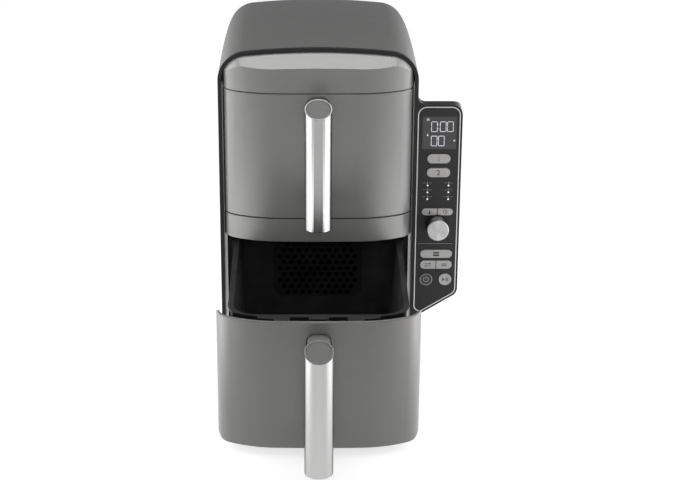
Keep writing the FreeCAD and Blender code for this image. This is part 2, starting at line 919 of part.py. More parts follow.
def make_fascias():
    plan = Piece("top_fascia_plan")
    plan.pad("XY_Plane", fascia_low, body_height, bow(0.0, s.trim_front))
    hollow_top = body_height - s.bezel_band - s.fascia_bevel_height - 2.0 * s.front_skin
    hollow = bow(s.front_skin, s.trim_front + s.seam)
    plan.pocket("XY_Plane", fascia_low + s.front_skin, hollow_top, hollow)
    face = Piece("top_fascia_face")
    floor = fascia_low - s.fascia_bevel_height
    inset = s.bezel_band + s.fascia_gap
    back_loop = arch(inset, floor)
    front_loop = arch(inset + s.fascia_bevel_height, floor)
    face.loft("AdditiveLoft", "XZ_Plane", 0.0, back_loop, -s.bow_reach, front_loop)
    face.pad("XZ_Plane", 0.0, s.trim_front, back_loop)
    settle_fixed(combine("Part::Common", "top_fascia", plan.body, face.body), "top_fascia")
    divider = Piece("divider_fascia")
    divider.pad("XY_Plane", divider_low, divider_high, bow(0.0, s.trim_front))
    inside = bow(s.front_skin, s.trim_front + s.seam)
    divider.pocket("XY_Plane", divider_low + s.front_skin, divider_high - s.front_skin, inside)
    settle_fixed(divider.body, "divider_fascia")
    strips = []
    outer = s.body_half_width - s.bezel_band
    for side in (-1, 1):
        strip = Piece("side_trim_%d" % len(strips))
        strip_x = (side * outer, side * (outer - s.side_trim_width))
        loop = rectangle(strip_x[0], strip_x[1], s.trim_front, s.collar_end)
        strip.pad("XY_Plane", pan_top, fascia_low + s.side_trim_width, loop)
        strips.append(strip.body)
    settle_fixed(group("side_trims", strips), "side_trims")


# Controls, each a named gap below the one above it

control_centre = panel_left + s.panel_width / 2.0 + s.control_shift
display_high = panel_top - s.display_drop
display_low = display_high - s.display_height
zone_one_height = display_low - s.display_gap - s.zone_button_half_height
zone_two_height = zone_one_height - 2.0 * s.zone_button_half_height - s.zone_button_gap
lamp_top = zone_two_height - s.zone_button_half_height - s.lamp_gap
lamp_low = lamp_top - s.lamp_pitch * (LAMP_ROWS - 1)
upper_pair_height = lamp_low - s.upper_pair_gap - s.upper_pair_half_height
dial_height = upper_pair_height - s.upper_pair_half_height - s.dial_gap - s.dial_radius
wide_button_height = dial_height - s.dial_radius - s.wide_gap - s.wide_half_height
lower_pair_height = wide_button_height - s.wide_half_height - s.lower_pair_gap - s.lower_pair_half_height
round_button_height = lower_pair_height - s.lower_pair_half_height - s.round_gap - s.power_button_radius


def button_outlines(grow):
    """Each button's outline on the panel, grown outwards, by name."""
    x = control_centre
    one = (s.zone_button_half_width, s.zone_button_half_height)
    upper = (s.pair_half_width, s.upper_pair_half_height, s.split_gap)
    lower = (s.wide_half_width, s.lower_pair_half_height, s.split_gap)
    power_x = x - s.round_button_offset
    start_x = x + s.round_button_offset
    wide = (s.wide_half_width, s.wide_half_height)
    return {
        "zone_one_button": pill(x, zone_one_height, *one, grow),
        "zone_two_button": pill(x, zone_two_height, *one, grow),
        "temperature_button": half_pill(x, upper_pair_height, *upper, -1, grow),
        "time_button": half_pill(x, upper_pair_height, *upper, 1, grow),
        "both_zones_button": pill(x, wide_button_height, *wide, grow),
        "sync_button": half_pill(x, lower_pair_height, *lower, -1, grow),
        "match_button": half_pill(x, lower_pair_height, *lower, 1, grow),
        "power_button": (power_x, round_button_height, s.power_button_radius + grow),
        "start_button": (start_x, round_button_height, s.start_button_radius + grow),
    }


def button_lips():
    """The middle of each button's retaining lip, and the button's half height there."""
    x = control_centre
    pair_x = s.pair_half_width / 2.0
    low_pair_x = s.wide_half_width / 2.0
    return {
        "zone_one_button": (x, zone_one_height, s.zone_button_half_height),
        "zone_two_button": (x, zone_two_height, s.zone_button_half_height),
        "temperature_button": (x - pair_x, upper_pair_height, s.upper_pair_half_height),
        "time_button": (x + pair_x, upper_pair_height, s.upper_pair_half_height),
        "both_zones_button": (x, wide_button_height, s.wide_half_height),
        "sync_button": (x - low_pair_x, lower_pair_height, s.lower_pair_half_height),
        "match_button": (x + low_pair_x, lower_pair_height, s.lower_pair_half_height),
        "power_button": (x - s.round_button_offset, round_button_height, s.power_button_radius),
        "start_button": (x + s.round_button_offset, round_button_height, s.start_button_radius),
    }


def lamp_places():
    """The centres of the six indicator lamps."""
    places = []
    for side in (-1, 1):
        for step in range(LAMP_ROWS):
            x = control_centre + side * s.lamp_offset
            places.append((x, lamp_top - step * s.lamp_pitch))
    return places


def display_outline(inset):
    x0 = control_centre - s.display_half_width + inset
    x1 = control_centre + s.display_half_width - inset
    return rectangle(x0, x1, display_low + inset, display_high - inset)


def make_panel():
    trim = Piece("panel_trim")
    half = s.trim_width / 2.0
    trim.pad("XZ_Plane", -s.trim_proud, s.panel_recess, wing(half), wing(-half))
    settle_fixed(trim.body, "panel_trim")
    face = Piece("panel_face")
    holes = list(button_outlines(s.button_gap).values())
    holes.append((control_centre, dial_height, s.shaft_radius + s.button_gap))
    holes.append(display_outline(0.0))
    for x, z in lamp_places():
        holes.append((x, z, s.lamp_radius + s.shaft_play))
    face.pad("XZ_Plane", s.panel_drop, s.panel_recess, wing(-half - s.shaft_play), *holes)
    settle_fixed(face.body, "panel_face")
    window = Piece("display_window")
    window.pad("XZ_Plane", s.panel_drop, s.panel_recess, display_outline(s.shaft_play))
    settle_fixed(window.body, "display_window")
    lamps = []
    for x, z in lamp_places():
        name = "lamp_%d" % len(lamps)
        lamps.append(rod(name, s.lamp_radius, x, s.panel_drop - s.trim_proud, s.panel_recess, z))
    settle_fixed(group("indicator_lamps", lamps), "indicator_lamps")


def make_control_board():
    board = Piece("control_board")
    level = s.board_level
    board.pad("XZ_Plane", level, level + s.board_thickness, wing(-s.wing_wall - s.fit))
    switches = []
    for x, z, half_height in button_lips().values():
        switches.append((x, z, half_height / 2.0))
    contact = s.button_depth + s.lip_reach * 2.0
    board.pad("XZ_Plane", contact, level, *switches)
    encoder = (control_centre, dial_height, s.encoder_radius)
    bore = (control_centre, dial_height, s.shaft_radius + s.shaft_play)
    board.pad("XZ_Plane", s.panel_recess + s.lip_reach, level, encoder, bore)
    settle_fixed(board.body, "control_board")


def make_buttons():
    lips = button_lips()
    behind = s.panel_recess + s.fit
    for name, outline in button_outlines(0.0).items():
        button = Piece(name)
        button.pad("XZ_Plane", s.panel_drop - s.button_proud, s.button_depth, outline)
        x, z, half_height = lips[name]
        reach = half_height + s.lip_reach
        lip = rectangle(x - half_height / 2.0, x + half_height / 2.0, z - reach, z + reach)
        button.pad("XZ_Plane", behind, behind + s.lip_thickness, lip)
        settle_fixed(button.body, name)


def make_dial():
    front = -s.dial_skirt - s.dial_length
    knob = Piece("dial_knob")
    edge = s.dial_radius - s.dial_round
    knob.revolve([
        line(front, 0.0),
        line(-s.dial_skirt, 0.0),
        line(-s.dial_skirt, s.dial_radius),
        line(front + s.dial_round, s.dial_radius),
        arc(front, edge, s.dial_round, 1),
    ])
    stem = Piece("dial_stem")
    stem_end = s.board_level - s.fit
    skirt = s.dial_radius + s.dial_skirt_reach
    stem.revolve([
        line(-s.dial_skirt, 0.0),
        line(stem_end, 0.0),
        line(stem_end, s.shaft_radius),
        line(-s.dial_clearance, s.shaft_radius),
        line(-s.dial_clearance, skirt),
        line(-s.dial_skirt, skirt),
    ])
    for piece in (knob, stem):
        settle(piece.body, piece.label, control_centre - middle_x, -middle_y, dial_height)


# Cooking chambers

def make_chamber(zone, base):
    half = liner_half_width
    inner = rectangle(-liner_inner, liner_inner, s.liner_low + s.liner_wall, liner_high - s.liner_wall)
    liner = Piece(zone + "_liner")
    box = rectangle(-half, half, s.liner_low, liner_high)
    liner.pad("XZ_Plane", s.collar_end, liner_end, box)
    flange = s.body_half_width - s.shell_wall - s.flange_gap
    wide = rectangle(-flange, flange, s.liner_low, liner_high)
    liner.pad("XZ_Plane", s.collar_end, s.collar_end + s.liner_wall, wide)
    liner.pocket("XZ_Plane", s.collar_end - s.seam, liner_end - s.liner_wall, inner)
    shaft_hole = (0.0, fan_centre, s.shaft_hole_radius)
    liner.pocket("XZ_Plane", liner_end - 2.0 * s.liner_wall, liner_end + s.seam, shaft_hole)
    settle_fixed(liner.body, zone + "_liner", base)
    make_rails(zone, base)
    make_grille(zone, base)


def make_rails(zone, base):
    top = rim_height - s.rim_thickness - s.fit
    web = liner_inner - s.rail_thickness
    rails = []
    for side in (-1, 1):
        rail = Piece("%s_rail_%d" % (zone, len(rails)))
        profile = [
            line(side * liner_inner, top - s.rail_drop),
            line(side * liner_inner, top),
            line(side * (rim_half_width + s.seam), top),
            line(side * (rim_half_width + s.seam), top - s.rail_thickness),
            line(side * web, top - s.rail_thickness),
            line(side * web, top - s.rail_drop),
        ]
        start = s.trim_front + s.fit
        rail.pad("XZ_Plane", start, grille_level - s.fit, profile)
        window_low = top - s.rail_drop / 2.0 - s.rail_window_height / 2.0 - s.rail_thickness
        window_start = start + s.rail_window_pitch - s.rail_window_length
        window = rectangle(
            window_start, window_start + s.rail_window_length,
            window_low, window_low + s.rail_window_height,
        )
        low_x = -liner_inner - s.seam if side < 0 else web - s.seam
        rail.pocket("YZ_Plane", low_x, low_x + s.rail_thickness + 2.0 * s.seam, window)
        windows = int((grille_level.value - start.value) / s.rail_window_pitch.value)
        rail.row("Y_Axis", s.rail_window_pitch, windows)
        rails.append(rail.body)
    settle_fixed(group(zone + "_rails", rails), zone + "_rails", base)


def make_grille(zone, base):
    edge = liner_inner - s.fit
    low = s.liner_low + s.liner_wall + s.fit
    high = liner_high - s.liner_wall - s.fit
    grille = Piece(zone + "_rear_grille")
    end = grille_level + s.grille_thickness
    grille.pad("XZ_Plane", grille_level, end, rectangle(-edge, edge, low, high))
    slot_low = fan_centre - s.grille_slot_pitch * (GRILLE_ROWS - 1) / 2.0
    slot_low = slot_low - s.grille_slot_height / 2.0
    half = s.grille_slot_width / 2.0
    slot = rectangle(-half, half, slot_low, slot_low + s.grille_slot_height)
    grille.pocket("XZ_Plane", grille_level - s.seam, end + s.seam, slot)
    grille.row("Z_Axis", s.grille_slot_pitch, GRILLE_ROWS)
    settle_fixed(grille.body, zone + "_rear_grille", base)


def make_air_mover(zone, base):
    """Heater rings, fan, shaft and motor, all drawn about the fan's axis."""
    axis_height = base + fan_centre
    heater = Piece(zone + "_heater")
    ring_radius = (liner_high - s.liner_low) / 2.0 - s.liner_wall - s.heater_rod_radius - s.heater_clearance
    first = octagon(heater_level, ring_radius, s.heater_rod_radius)
    second = octagon(heater_level + s.heater_pitch, ring_radius, s.heater_rod_radius)
    heater.revolve(first, second)
    wall = liner_end - s.liner_wall
    legs = [(side * ring_radius, 0.0, s.heater_leg_radius) for side in (-1, 1)]
    heater.pad("XZ_Plane", heater_level, wall, *legs)
    settle_fixed(heater.body, zone + "_heater", axis_height)
    fan = Piece(zone + "_fan")
    end = fan_level + s.fan_depth
    bore = (0.0, 0.0, s.shaft_radius + s.shaft_play)
    fan.pad("XZ_Plane", fan_level, end, (0.0, 0.0, s.fan_hub_radius), bore)
    fan.pad("XZ_Plane", end - s.blade_thickness, end, (0.0, 0.0, s.fan_radius), bore)
    half = s.blade_thickness / 2.0
    blade = rectangle(-half, half, s.fan_hub_radius - s.seam, s.fan_radius)
    fan.pad("XZ_Plane", fan_level, end, blade)
    fan.ring("Y_Axis", s.blade_count)
    settle_fixed(fan.body, zone + "_fan", axis_height)
    shaft = Piece(zone + "_fan_shaft")
    nut = s.fan_nut_radius
    motor_end = liner_end + s.motor_plate + s.motor_length
    shaft.revolve([
        line(fan_level - nut, 0.0),
        line(motor_end + s.shaft_radius, 0.0),
        line(motor_end + s.shaft_radius, s.shaft_radius),
        line(end + s.blade_thickness, s.shaft_radius),
        line(end + s.blade_thickness, s.shaft_collar_radius),
        line(end, s.shaft_collar_radius),
        line(end, s.shaft_radius),
        line(fan_level, s.shaft_radius),
        line(fan_level, nut),
        line(fan_level - nut, nut),
    ])
    settle_fixed(shaft.body, zone + "_fan_shaft", axis_height)
    motor = Piece(zone + "_motor")
    plate = s.motor_plate_half
    motor.pad(
        "XZ_Plane", liner_end, liner_end + s.motor_plate, rectangle(-plate, plate, -plate, plate), bore
    )
    motor.pad(
        "XZ_Plane", liner_end + s.motor_plate, motor_end, (0.0, 0.0, s.motor_radius), bore
    )
    settle_fixed(motor.body, zone + "_motor", axis_height)


def make_power_board():
    board = Piece("power_board")
    roof = upper_base + liner_high
    level = roof + s.standoff_height
    half = s.power_board_half_width
    y0 = s.power_board_start
    y1 = y0 + s.power_board_length
    board.pad("XY_Plane", level, level + s.board_thickness, rectangle(-half, half, y0, y1))
    inset = s.standoff_inset
    posts = []
    for x in (-half + inset, half - inset):
        for y in (y0 + inset, y1 - inset):
            posts.append((x, y, s.standoff_height / 2.0))
    board.pad("XY_Plane", roof, level, *posts)
    top = level + s.board_thickness
    middle = (y0 + y1) / 2.0
    core = s.transformer_width / 2.0
    block = rectangle(
        -s.transformer_offset - core, -s.transformer_offset + core,
        middle - s.transformer_length / 2.0, middle + s.transformer_length / 2.0,
    )
    board.pad("XY_Plane", top, top + s.transformer_height, block)
    cans = []
    for side in (-1, 1):
        y = middle + side * s.capacitor_pitch / 2.0
        cans.append((s.capacitor_offset, y, s.capacitor_radius))
    board.pad("XY_Plane", top, top + s.capacitor_height, *cans)
    settle_fixed(board.body, "power_board")


# Drawers

def post_outline(top, grow=0.0):
    half = s.post_half_width + grow
    return rounded(-half, half, top - s.post_height - grow, top + grow, s.post_round + grow)


low_screw_height = s.front_skin + s.bracket_wall + s.screw_head_radius + s.screw_head_gap


def handle_shift(zone):
    """How far a zone's handle sits below the upper drawer's."""
    return s.lower_handle_drop if zone == "lower" else as_size(0.0)


def post_tops(zone):
    """The tops of a handle's two posts; the low one's screw stands on the bracket's floor."""
    low = low_screw_height + s.post_height / 2.0 + s.lower_handle_drop
    return [top - handle_shift(zone) for top in (s.front_height - s.post_drop, low)]


def make_front(zone):
    front = Piece(zone + "_drawer_front")
    front.pad("XY_Plane", 0.0, s.front_height, bow(0.0, drawer_back))

    def face_edge(edge):
        heights = [vertex.Z for vertex in edge.Vertexes]
        level = all(near(z, 0.0) for z in heights) or all(near(z, s.front_height) for z in heights)
        behind = all(near(vertex.Y, drawer_back) for vertex in edge.Vertexes)
        return level and not behind

    front.soften(s.front_edge_round, face_edge)
    inside = bow(s.front_skin, s.trim_front + s.seam)
    front.pocket("XY_Plane", s.front_skin, s.front_height + s.seam, inside)
    if zone == "lower":
        reach = front_half_width + s.seam
        bend = front_half_width - s.front_bottom_round
        corners = []
        for side in (-1, 1):
            corners.append([
                line(side * reach, -s.seam),
                line(side * reach, s.front_bottom_round),
                line(side * front_half_width, s.front_bottom_round),
                arc(side * bend, 0.0, s.front_bottom_round, -side),
                line(side * bend, -s.seam),
            ])
        front.pocket("XZ_Plane", -s.bow_reach - s.seam, s.trim_front + s.seam, *corners)
    for top in post_tops(zone):
        hole = post_outline(top, s.post_ring)
        behind = -s.bow_reach + s.front_skin + s.seam
        front.pocket("XZ_Plane", -s.bow_reach - s.seam, behind, hole)
    return front.body


def make_bracket(zone):
    bracket = Piece(zone + "_drawer_bracket")
    inset = s.front_skin + s.fit
    top = rim_height
    low = s.front_skin
    bracket.pad("XY_Plane", low, top, bow(inset, drawer_back))
    tab_end = s.tab_inset + s.tab_depth
    tab_top = top + s.tab_height
    band = bow(s.tab_inset, drawer_back) + backwards(bow(tab_end, drawer_back))
    bracket.pad("XY_Plane", top, tab_top, band)
    above = tab_top + s.seam
    step = tab_top - s.centre_notch_drop
    gaps = [rectangle(-s.centre_notch_half, s.centre_notch_half, step, above)]
    for side in (-1, 1):
        gaps.append([
            line(side * s.centre_tab_half, top),
            line(side * s.side_tab_start, top),
            line(side * s.side_tab_start, step),
            line(side * s.side_tab_step, step),
            line(side * s.side_tab_step, above),
            line(side * s.centre_tab_half, above),
        ])
        for centre in (s.tab_slot_offset, s.tab_slot_offset + s.tab_slot_pitch):
            inner_x = side * (centre - s.tab_slot_width / 2.0)
            outer_x = side * (centre + s.tab_slot_width / 2.0)
            gaps.append(rectangle(inner_x, outer_x, top, top + s.tab_slot_height))
    bracket.pocket("XZ_Plane", -s.bow_reach, s.trim_front + s.seam, *gaps)
    hollow_front = bracket_front + s.bracket_wall
    half = bow_shoulder_half - s.bracket_wall
    hollow = rectangle(-half, half, low + s.bracket_wall, top - s.rim_thickness)
    bracket.pocket("XZ_Plane", hollow_front, s.trim_front + s.seam, hollow)
    if zone == "lower":
        reach = front_half_width
        bend = s.front_bottom_round
        for side in (-1, 1):
            corner = [
                line(side * reach, low - s.seam),
                line(side * reach, low + bend),
                line(side * (reach - bend - s.front_skin), low - s.seam),
            ]
            bracket.pocket("XZ_Plane", -s.bow_reach, s.trim_front + s.seam, corner)
    bore = s.screw_radius + s.shaft_play
    holes = [(0.0, level - s.post_height / 2.0, bore) for level in post_tops(zone)]
    bracket.pocket("XZ_Plane", -s.bow_reach, s.trim_front + s.seam, *holes)
    return bracket.body


def slant_cut(level):
    """The space above the handle's slanted top, drawn in the YZ plane."""
    reach = s.handle_radius + s.seam
    rise = reach * tangent(s.handle_slant)
    top = level + 2.0 * s.handle_radius
    return [
        line(handle_y - reach, level - rise),
        line(handle_y + reach, level + rise),
        line(handle_y + reach, top),
        line(handle_y - reach, top),
    ]


def make_handle(zone):
    top = s.front_height - s.handle_drop - handle_shift(zone)
    bottom = s.handle_bottom - handle_shift(zone)
    high = top + s.handle_radius
    inner = s.handle_radius - s.handle_wall
    half = s.handle_radius + s.seam
    core = Piece(zone + "_handle_core")
    core.pad("XY_Plane", bottom + s.cap_inset, high, (0.0, handle_y, inner - s.shaft_play))
    for level in post_tops(zone):
        core.pad("XZ_Plane", handle_y, bracket_front - s.shaft_play, post_outline(level))
    core.pocket("YZ_Plane", -half, half, slant_cut(top - s.cap_inset))
    bore = s.screw_radius + s.shaft_play
    holes = [(0.0, level - s.post_height / 2.0, bore) for level in post_tops(zone)]
    screw_end = bracket_front - s.screw_bite - s.seam
    core.pocket("XZ_Plane", screw_end, bracket_front, *holes)
    sleeve = Piece(zone + "_handle_sleeve")
    tube = [(0.0, handle_y, s.handle_radius), (0.0, handle_y, inner)]
    sleeve.pad("XY_Plane", bottom, high, *tube)
    sleeve.pocket("YZ_Plane", -half, half, slant_cut(top))
    slots = [post_outline(level, s.fit) for level in post_tops(zone)]
    sleeve.pocket("XZ_Plane", handle_y, handle_y + half, *slots)
    return core.body, sleeve.body


def make_screws(zone):
    screws = []
    face = bracket_front + s.bracket_wall
    for top in post_tops(zone):
        screw = Piece("%s_handle_screw_%d" % (zone, len(screws)))
        place = (0.0, top - s.post_height / 2.0)
        screw.pad("XZ_Plane", face, face + s.screw_head_height, place + (s.screw_head_radius,))
        screw.pad("XZ_Plane", bracket_front - s.screw_bite, face, place + (s.screw_radius,))
        screws.append(screw.body)
    return group(zone + "_handle_screws", screws)


def basket_plan(inset, draft):
    """The basket's plan: three sides lean in with the draft, the rear stays upright."""
    half = rim_half_width - inset - draft
    return rounded(-half, half, basket_front + inset + draft, basket_rear - inset, s.basket_round - inset)


def make_basket(zone):
    basket = Piece(zone + "_basket")
    floor = s.basket_floor
    rim = rim_height
    wall = s.basket_wall
    outer = (basket_plan(0.0, s.basket_draft), basket_plan(0.0, 0.0))
    inner = (basket_plan(wall, s.basket_draft), basket_plan(wall, 0.0))
    basket.loft("AdditiveLoft", "XY_Plane", floor, outer[0], rim, outer[1])
    reach = s.rim_reach
    flange = basket_plan(-reach, 0.0)
    basket.pad("XY_Plane", rim - s.rim_thickness, rim, flange)
    basket.loft("SubtractiveLoft", "XY_Plane", floor + wall, inner[0], rim, inner[1])
    half = s.screen_half_width
    low = screen_centre - s.screen_height / 2.0
    window = rounded(-half, half, low, low + s.screen_height, s.screen_round)
    basket.pocket("XZ_Plane", basket_rear - wall - s.seam, basket_rear + s.seam, window)
    return basket.body


def hexagon(x, z, radius, y):
    """A hexagon with two upright sides, as a closed wire at depth y."""
    corners = []
    for step in range(7):
        angle = math.radians(60.0 * step + 30.0)
        corners.append(FreeCAD.Vector(x + radius * math.cos(angle), y, z + radius * math.sin(angle)))
    return Part.makePolygon(corners)


def round_rectangle_wire(half, low, high, bend, y):
    """A rectangle with round corners about x = 0, as a closed wire at depth y."""
    inner_half, inner_low, inner_high = half - bend, low + bend, high - bend
    centres = [(inner_half, inner_low), (inner_half, inner_high)]
    centres += [(-inner_half, inner_high), (-inner_half, inner_low)]
    edges = []
    points = []
    for quarter, (x, z) in enumerate(centres, start=-1):
        trio = []
        for turn in (0.0, EIGHTH_TURN, QUARTER_TURN):
            angle = math.radians(quarter * QUARTER_TURN + turn)
            trio.append(FreeCAD.Vector(x + bend * math.cos(angle), y, z + bend * math.sin(angle)))
        points.append(trio)
    for index, trio in enumerate(points):
        edges.append(Part.LineSegment(points[index - 1][2], trio[0]).toShape())
        edges.append(Part.Arc(*trio).toShape())
    return Part.Wire(edges)


def make_screen(zone):
    """The basket's perforated rear screen: a lapped plate with staggered hexagonal holes."""
    y = basket_rear.value
    centre = screen_centre.value
    lap = s.screen_lap.value
    half = s.screen_half_width.value
    tall = s.screen_height.value / 2.0
    bend = s.screen_round.value
    pitch = s.hex_pitch.value
    radius = s.hex_radius.value
    margin = radius + s.seam.value
    rows = int((tall - margin) / (pitch * math.sqrt(3.0) / 2.0))
    columns = int((half - margin) / pitch)
    wires = [round_rectangle_wire(half + lap, centre - tall - lap, centre + tall + lap, bend + lap, y)]
    for row in range(-rows, rows + 1):
        z = centre + row * pitch * math.sqrt(3.0) / 2.0
        shift = pitch / 2.0 if row % 2 else 0.0
        for step in range(-columns, columns + 1):
            x = step * pitch + shift
            corner = math.hypot(max(abs(x) - half + bend, 0.0), max(abs(z - centre) - tall + bend, 0.0))
            if corner < bend - margin and abs(x) < half - margin:
                wires.append(hexagon(x, z, radius, y))
    face = Part.Face(wires[0])
    face = face.cut(Part.Compound([Part.Face(wire) for wire in wires[1:]]))
    screen = doc.addObject("Part::Feature", zone + "_basket_screen")
    screen.Shape = face.Faces[0].extrude(FreeCAD.Vector(0, s.screen_thickness.value, 0))
    return screen


def make_crisper(zone):
    plate = Piece(zone + "_crisper_plate")
    inset = s.basket_wall + s.plate_gap
    low = s.plate_level
    high = low + s.plate_thickness
    plate.pad("XY_Plane", low, high, basket_plan(inset, s.basket_draft))
    first = basket_front + s.basket_draft + inset + s.bumper_inset
    slots = []
    for side in (-1, 1):
        x0 = side * s.plate_slot_width
        x1 = side * (s.plate_slot_width + s.plate_slot_length)
        slots.append(rectangle(x0, x1, first, first + s.plate_slot_width))
    plate.pocket("XY_Plane", low - s.seam, high + s.seam, *slots)
    room = basket_rear - inset - s.bumper_inset - first
    plate.row("Y_Axis", s.plate_slot_pitch, int(room.value / s.plate_slot_pitch.value))
    bumpers = []
    half = rim_half_width - s.basket_draft - inset - s.bumper_inset / 2.0
    for x in (-half, half):
        for y in (first - s.bumper_inset / 2.0, basket_rear - inset - s.bumper_inset / 2.0):
            name = "%s_bumper_%d" % (zone, len(bumpers))
            base = s.basket_floor + s.basket_wall
            bumpers.append(column(name, s.bumper_radius, x, y, base, low))
    return plate.body, group(zone + "_crisper_bumpers", bumpers)


def make_drawer(zone, base, pull):
    core, sleeve = make_handle(zone)
    plate, bumpers = make_crisper(zone)
    pieces = {
        "drawer_front": make_front(zone),
        "drawer_bracket": make_bracket(zone),
        "basket": make_basket(zone),
        "basket_screen": make_screen(zone),
        "handle_core": core,
        "handle_sleeve": sleeve,
        "handle_screws": make_screws(zone),
        "crisper_plate": plate,
        "crisper_bumpers": bumpers,
    }
    for name, target in pieces.items():
        settle(target, "%s_%s" % (zone, name), -middle_x, -middle_y - pull, base)


make_base()
make_shell()
make_rear_cover()
make_bezel()
make_panel_housing()
make_fascias()
make_panel()
make_control_board()
make_buttons()
make_dial()
make_power_board()
for zone_name, zone_floor, zone_pull in (
    ("upper", upper_base, as_size(0.0)),
    ("lower", lower_base, s.pull),
):
    make_chamber(zone_name, zone_floor)
    make_air_mover(zone_name, zone_floor)
    make_drawer(zone_name, zone_floor, zone_pull)

doc.recompute()
for item in doc.Objects:
    if "Invalid" in item.State or "Error" in item.State:
        raise RuntimeError("%s failed: %s" % (item.Name, item.State))
for item in finished:
    if item.Shape.isNull() or not item.Shape.isValid():
        raise RuntimeError("%s has no valid shape" % item.Label)

os.makedirs("parts", exist_ok=True)
for item in finished:
    item.Shape.exportStep(os.path.join("parts", item.Label + ".step"))
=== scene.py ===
"""Looks of an air fryer with two stacked drawers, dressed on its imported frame."""

import logging
import math
from dataclasses import dataclass
from enum import Enum
from typing import Callable, Iterable

import bmesh
import bpy
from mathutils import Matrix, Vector

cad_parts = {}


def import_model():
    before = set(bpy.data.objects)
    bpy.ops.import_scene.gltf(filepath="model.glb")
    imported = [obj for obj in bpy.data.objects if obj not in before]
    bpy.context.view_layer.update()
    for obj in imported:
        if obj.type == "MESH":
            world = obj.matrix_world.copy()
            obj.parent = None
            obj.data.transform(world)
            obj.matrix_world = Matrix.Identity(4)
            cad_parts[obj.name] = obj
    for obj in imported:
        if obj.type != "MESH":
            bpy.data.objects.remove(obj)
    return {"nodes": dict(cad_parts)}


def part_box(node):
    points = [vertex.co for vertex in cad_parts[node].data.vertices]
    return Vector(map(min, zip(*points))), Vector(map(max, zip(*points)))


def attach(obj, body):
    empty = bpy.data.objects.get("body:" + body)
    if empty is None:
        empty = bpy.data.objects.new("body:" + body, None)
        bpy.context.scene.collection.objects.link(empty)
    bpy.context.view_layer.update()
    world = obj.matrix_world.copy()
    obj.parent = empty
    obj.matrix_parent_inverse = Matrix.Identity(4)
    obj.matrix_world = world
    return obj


Pair = tuple[float, float]
Triple = tuple[float, float, float]
Colour = tuple[float, float, float]
Point = tuple[float, float]
Loop = list[Point]
Value = float | tuple[float, ...]

LOG = logging.getLogger("air_fryer")
MM = 0.001
HOUSING_BODY = "housing"
WHITE = (1.0, 1.0, 1.0, 1.0)
STILL: Triple = (0.0, 0.0, 0.0)
EVEN: Triple = (1.0, 1.0, 1.0)
SIDES = {"left_": -1.0, "right_": 1.0}
FULL_DEGREES = 360.0
BLOCK_DEGREES = 12.0
ZERO_BARS = "abcdef"

# A cloud's cells against the grain's, the octaves of both, and the part of a field's range that is used.
CLOUD_SHARE = 0.02
CLOUD_OCTAVES = 3.0
GRAIN_OCTAVES = 2.0
FIELD: Pair = (0.3, 0.7)
UNIT: Pair = (0.0, 1.0)
LEAST_ROUGHNESS = 0.02
BEVEL_SAMPLES = 4


class Zone(Enum):
    """The two cooking zones, by the start of their nodes' names."""

    UPPER = "upper_"
    LOWER = "lower_"


class Icon(Enum):
    """The plain signs on the keys and the display."""

    THERMOMETER = "thermometer"
    CLOCK = "clock"
    DEGREE = "degree"
    STACK = "stack"
    ARROWS = "arrows"
    EQUALS = "equals"
    POWER = "power"
    START = "start"


class Axis(Enum):
    """The axis that a metal's marks run along or round."""

    Y = 1
    Z = 2


# Finishes


@dataclass(frozen=True)
class Finish:
    """A coat or moulded surface with fine grain, uneven gloss and softened edges.

    Attributes:
        name: The finish's name.
        colour: Linear base colour.
        roughness: Middle roughness.
        metallic: Share of metal.
        tone: Share by which the base colour varies.
        gloss_spread: How far the roughness strays from its middle.
        grain: Grain cells per metre.
        grain_height: Height of the grain, in metres.
        edge: Radius of the softened edges, in metres.
        specular: Specular level of the base.
    """

    name: str
    colour: Colour
    roughness: float = 0.45
    metallic: float = 0.0
    tone: float = 0.05
    gloss_spread: float = 0.04
    grain: float = 2200.0
    grain_height: float = 6e-6
    edge: float = 0.3 * MM
    specular: float = 0.5

    def material(self) -> bpy.types.Material:
        """Gives the finish's material, made on first use.

        Returns:
            The material.
        """
        title = self.name + "_finish"
        made = bpy.data.materials.get(title)
        if made is None:
            made = bpy.data.materials.new(title)
            made.use_nodes = True
            self.wire(NodeSet(made.node_tree))
        return made

    def wire(self, nodes: "NodeSet") -> None:
        """Lays the shader's nodes.

        Args:
            nodes: The material's node helper.
        """
        shader = nodes.shader
        nodes.fill(shader, {"Metallic": self.metallic, "Specular IOR Level": self.specular})
        cloud = nodes.noise(self.grain * CLOUD_SHARE, CLOUD_OCTAVES, self.stretch())
        dark = tuple(channel * (1.0 - self.tone) for channel in self.colour)
        light = tuple(channel * (1.0 + self.tone) for channel in self.colour)
        nodes.join(nodes.ramp(cloud, dark, light), shader.inputs["Base Color"])
        nodes.join(self.uneven(nodes, cloud), shader.inputs["Roughness"])
        fine = nodes.noise(self.grain, GRAIN_OCTAVES, self.stretch())
        nodes.relief(fine, self.grain_height, self.edge)

    def uneven(self, nodes: "NodeSet", field: bpy.types.NodeSocket) -> bpy.types.NodeSocket:
        """Spreads the roughness about its middle.

        Args:
            nodes: The material's node helper.
            field: A field from 0 to 1.

        Returns:
            The roughness output.
        """
        low = max(self.roughness - self.gloss_spread, LEAST_ROUGHNESS)
        return nodes.span(field, low, self.roughness + self.gloss_spread)

    def stretch(self) -> Triple:
        """Gives the grain's scale along each axis."""
        return EVEN


@dataclass(frozen=True)
class BrushedFinish(Finish):
    """Metal brushed along one axis.

    Attributes:
        along: The direction of the brush strokes.
        draw: How many times longer than wide a stroke is.
    """

    along: Axis = Axis.Z
    draw: float = 60.0

    def stretch(self) -> Triple:
        """Gives the grain's scale along each axis, drawn out along the strokes.

        Returns:
            The scale along x, y and z.
        """
        scale = list(EVEN)
        scale[self.along.value] = 1.0 / self.draw
        return (scale[0], scale[1], scale[2])


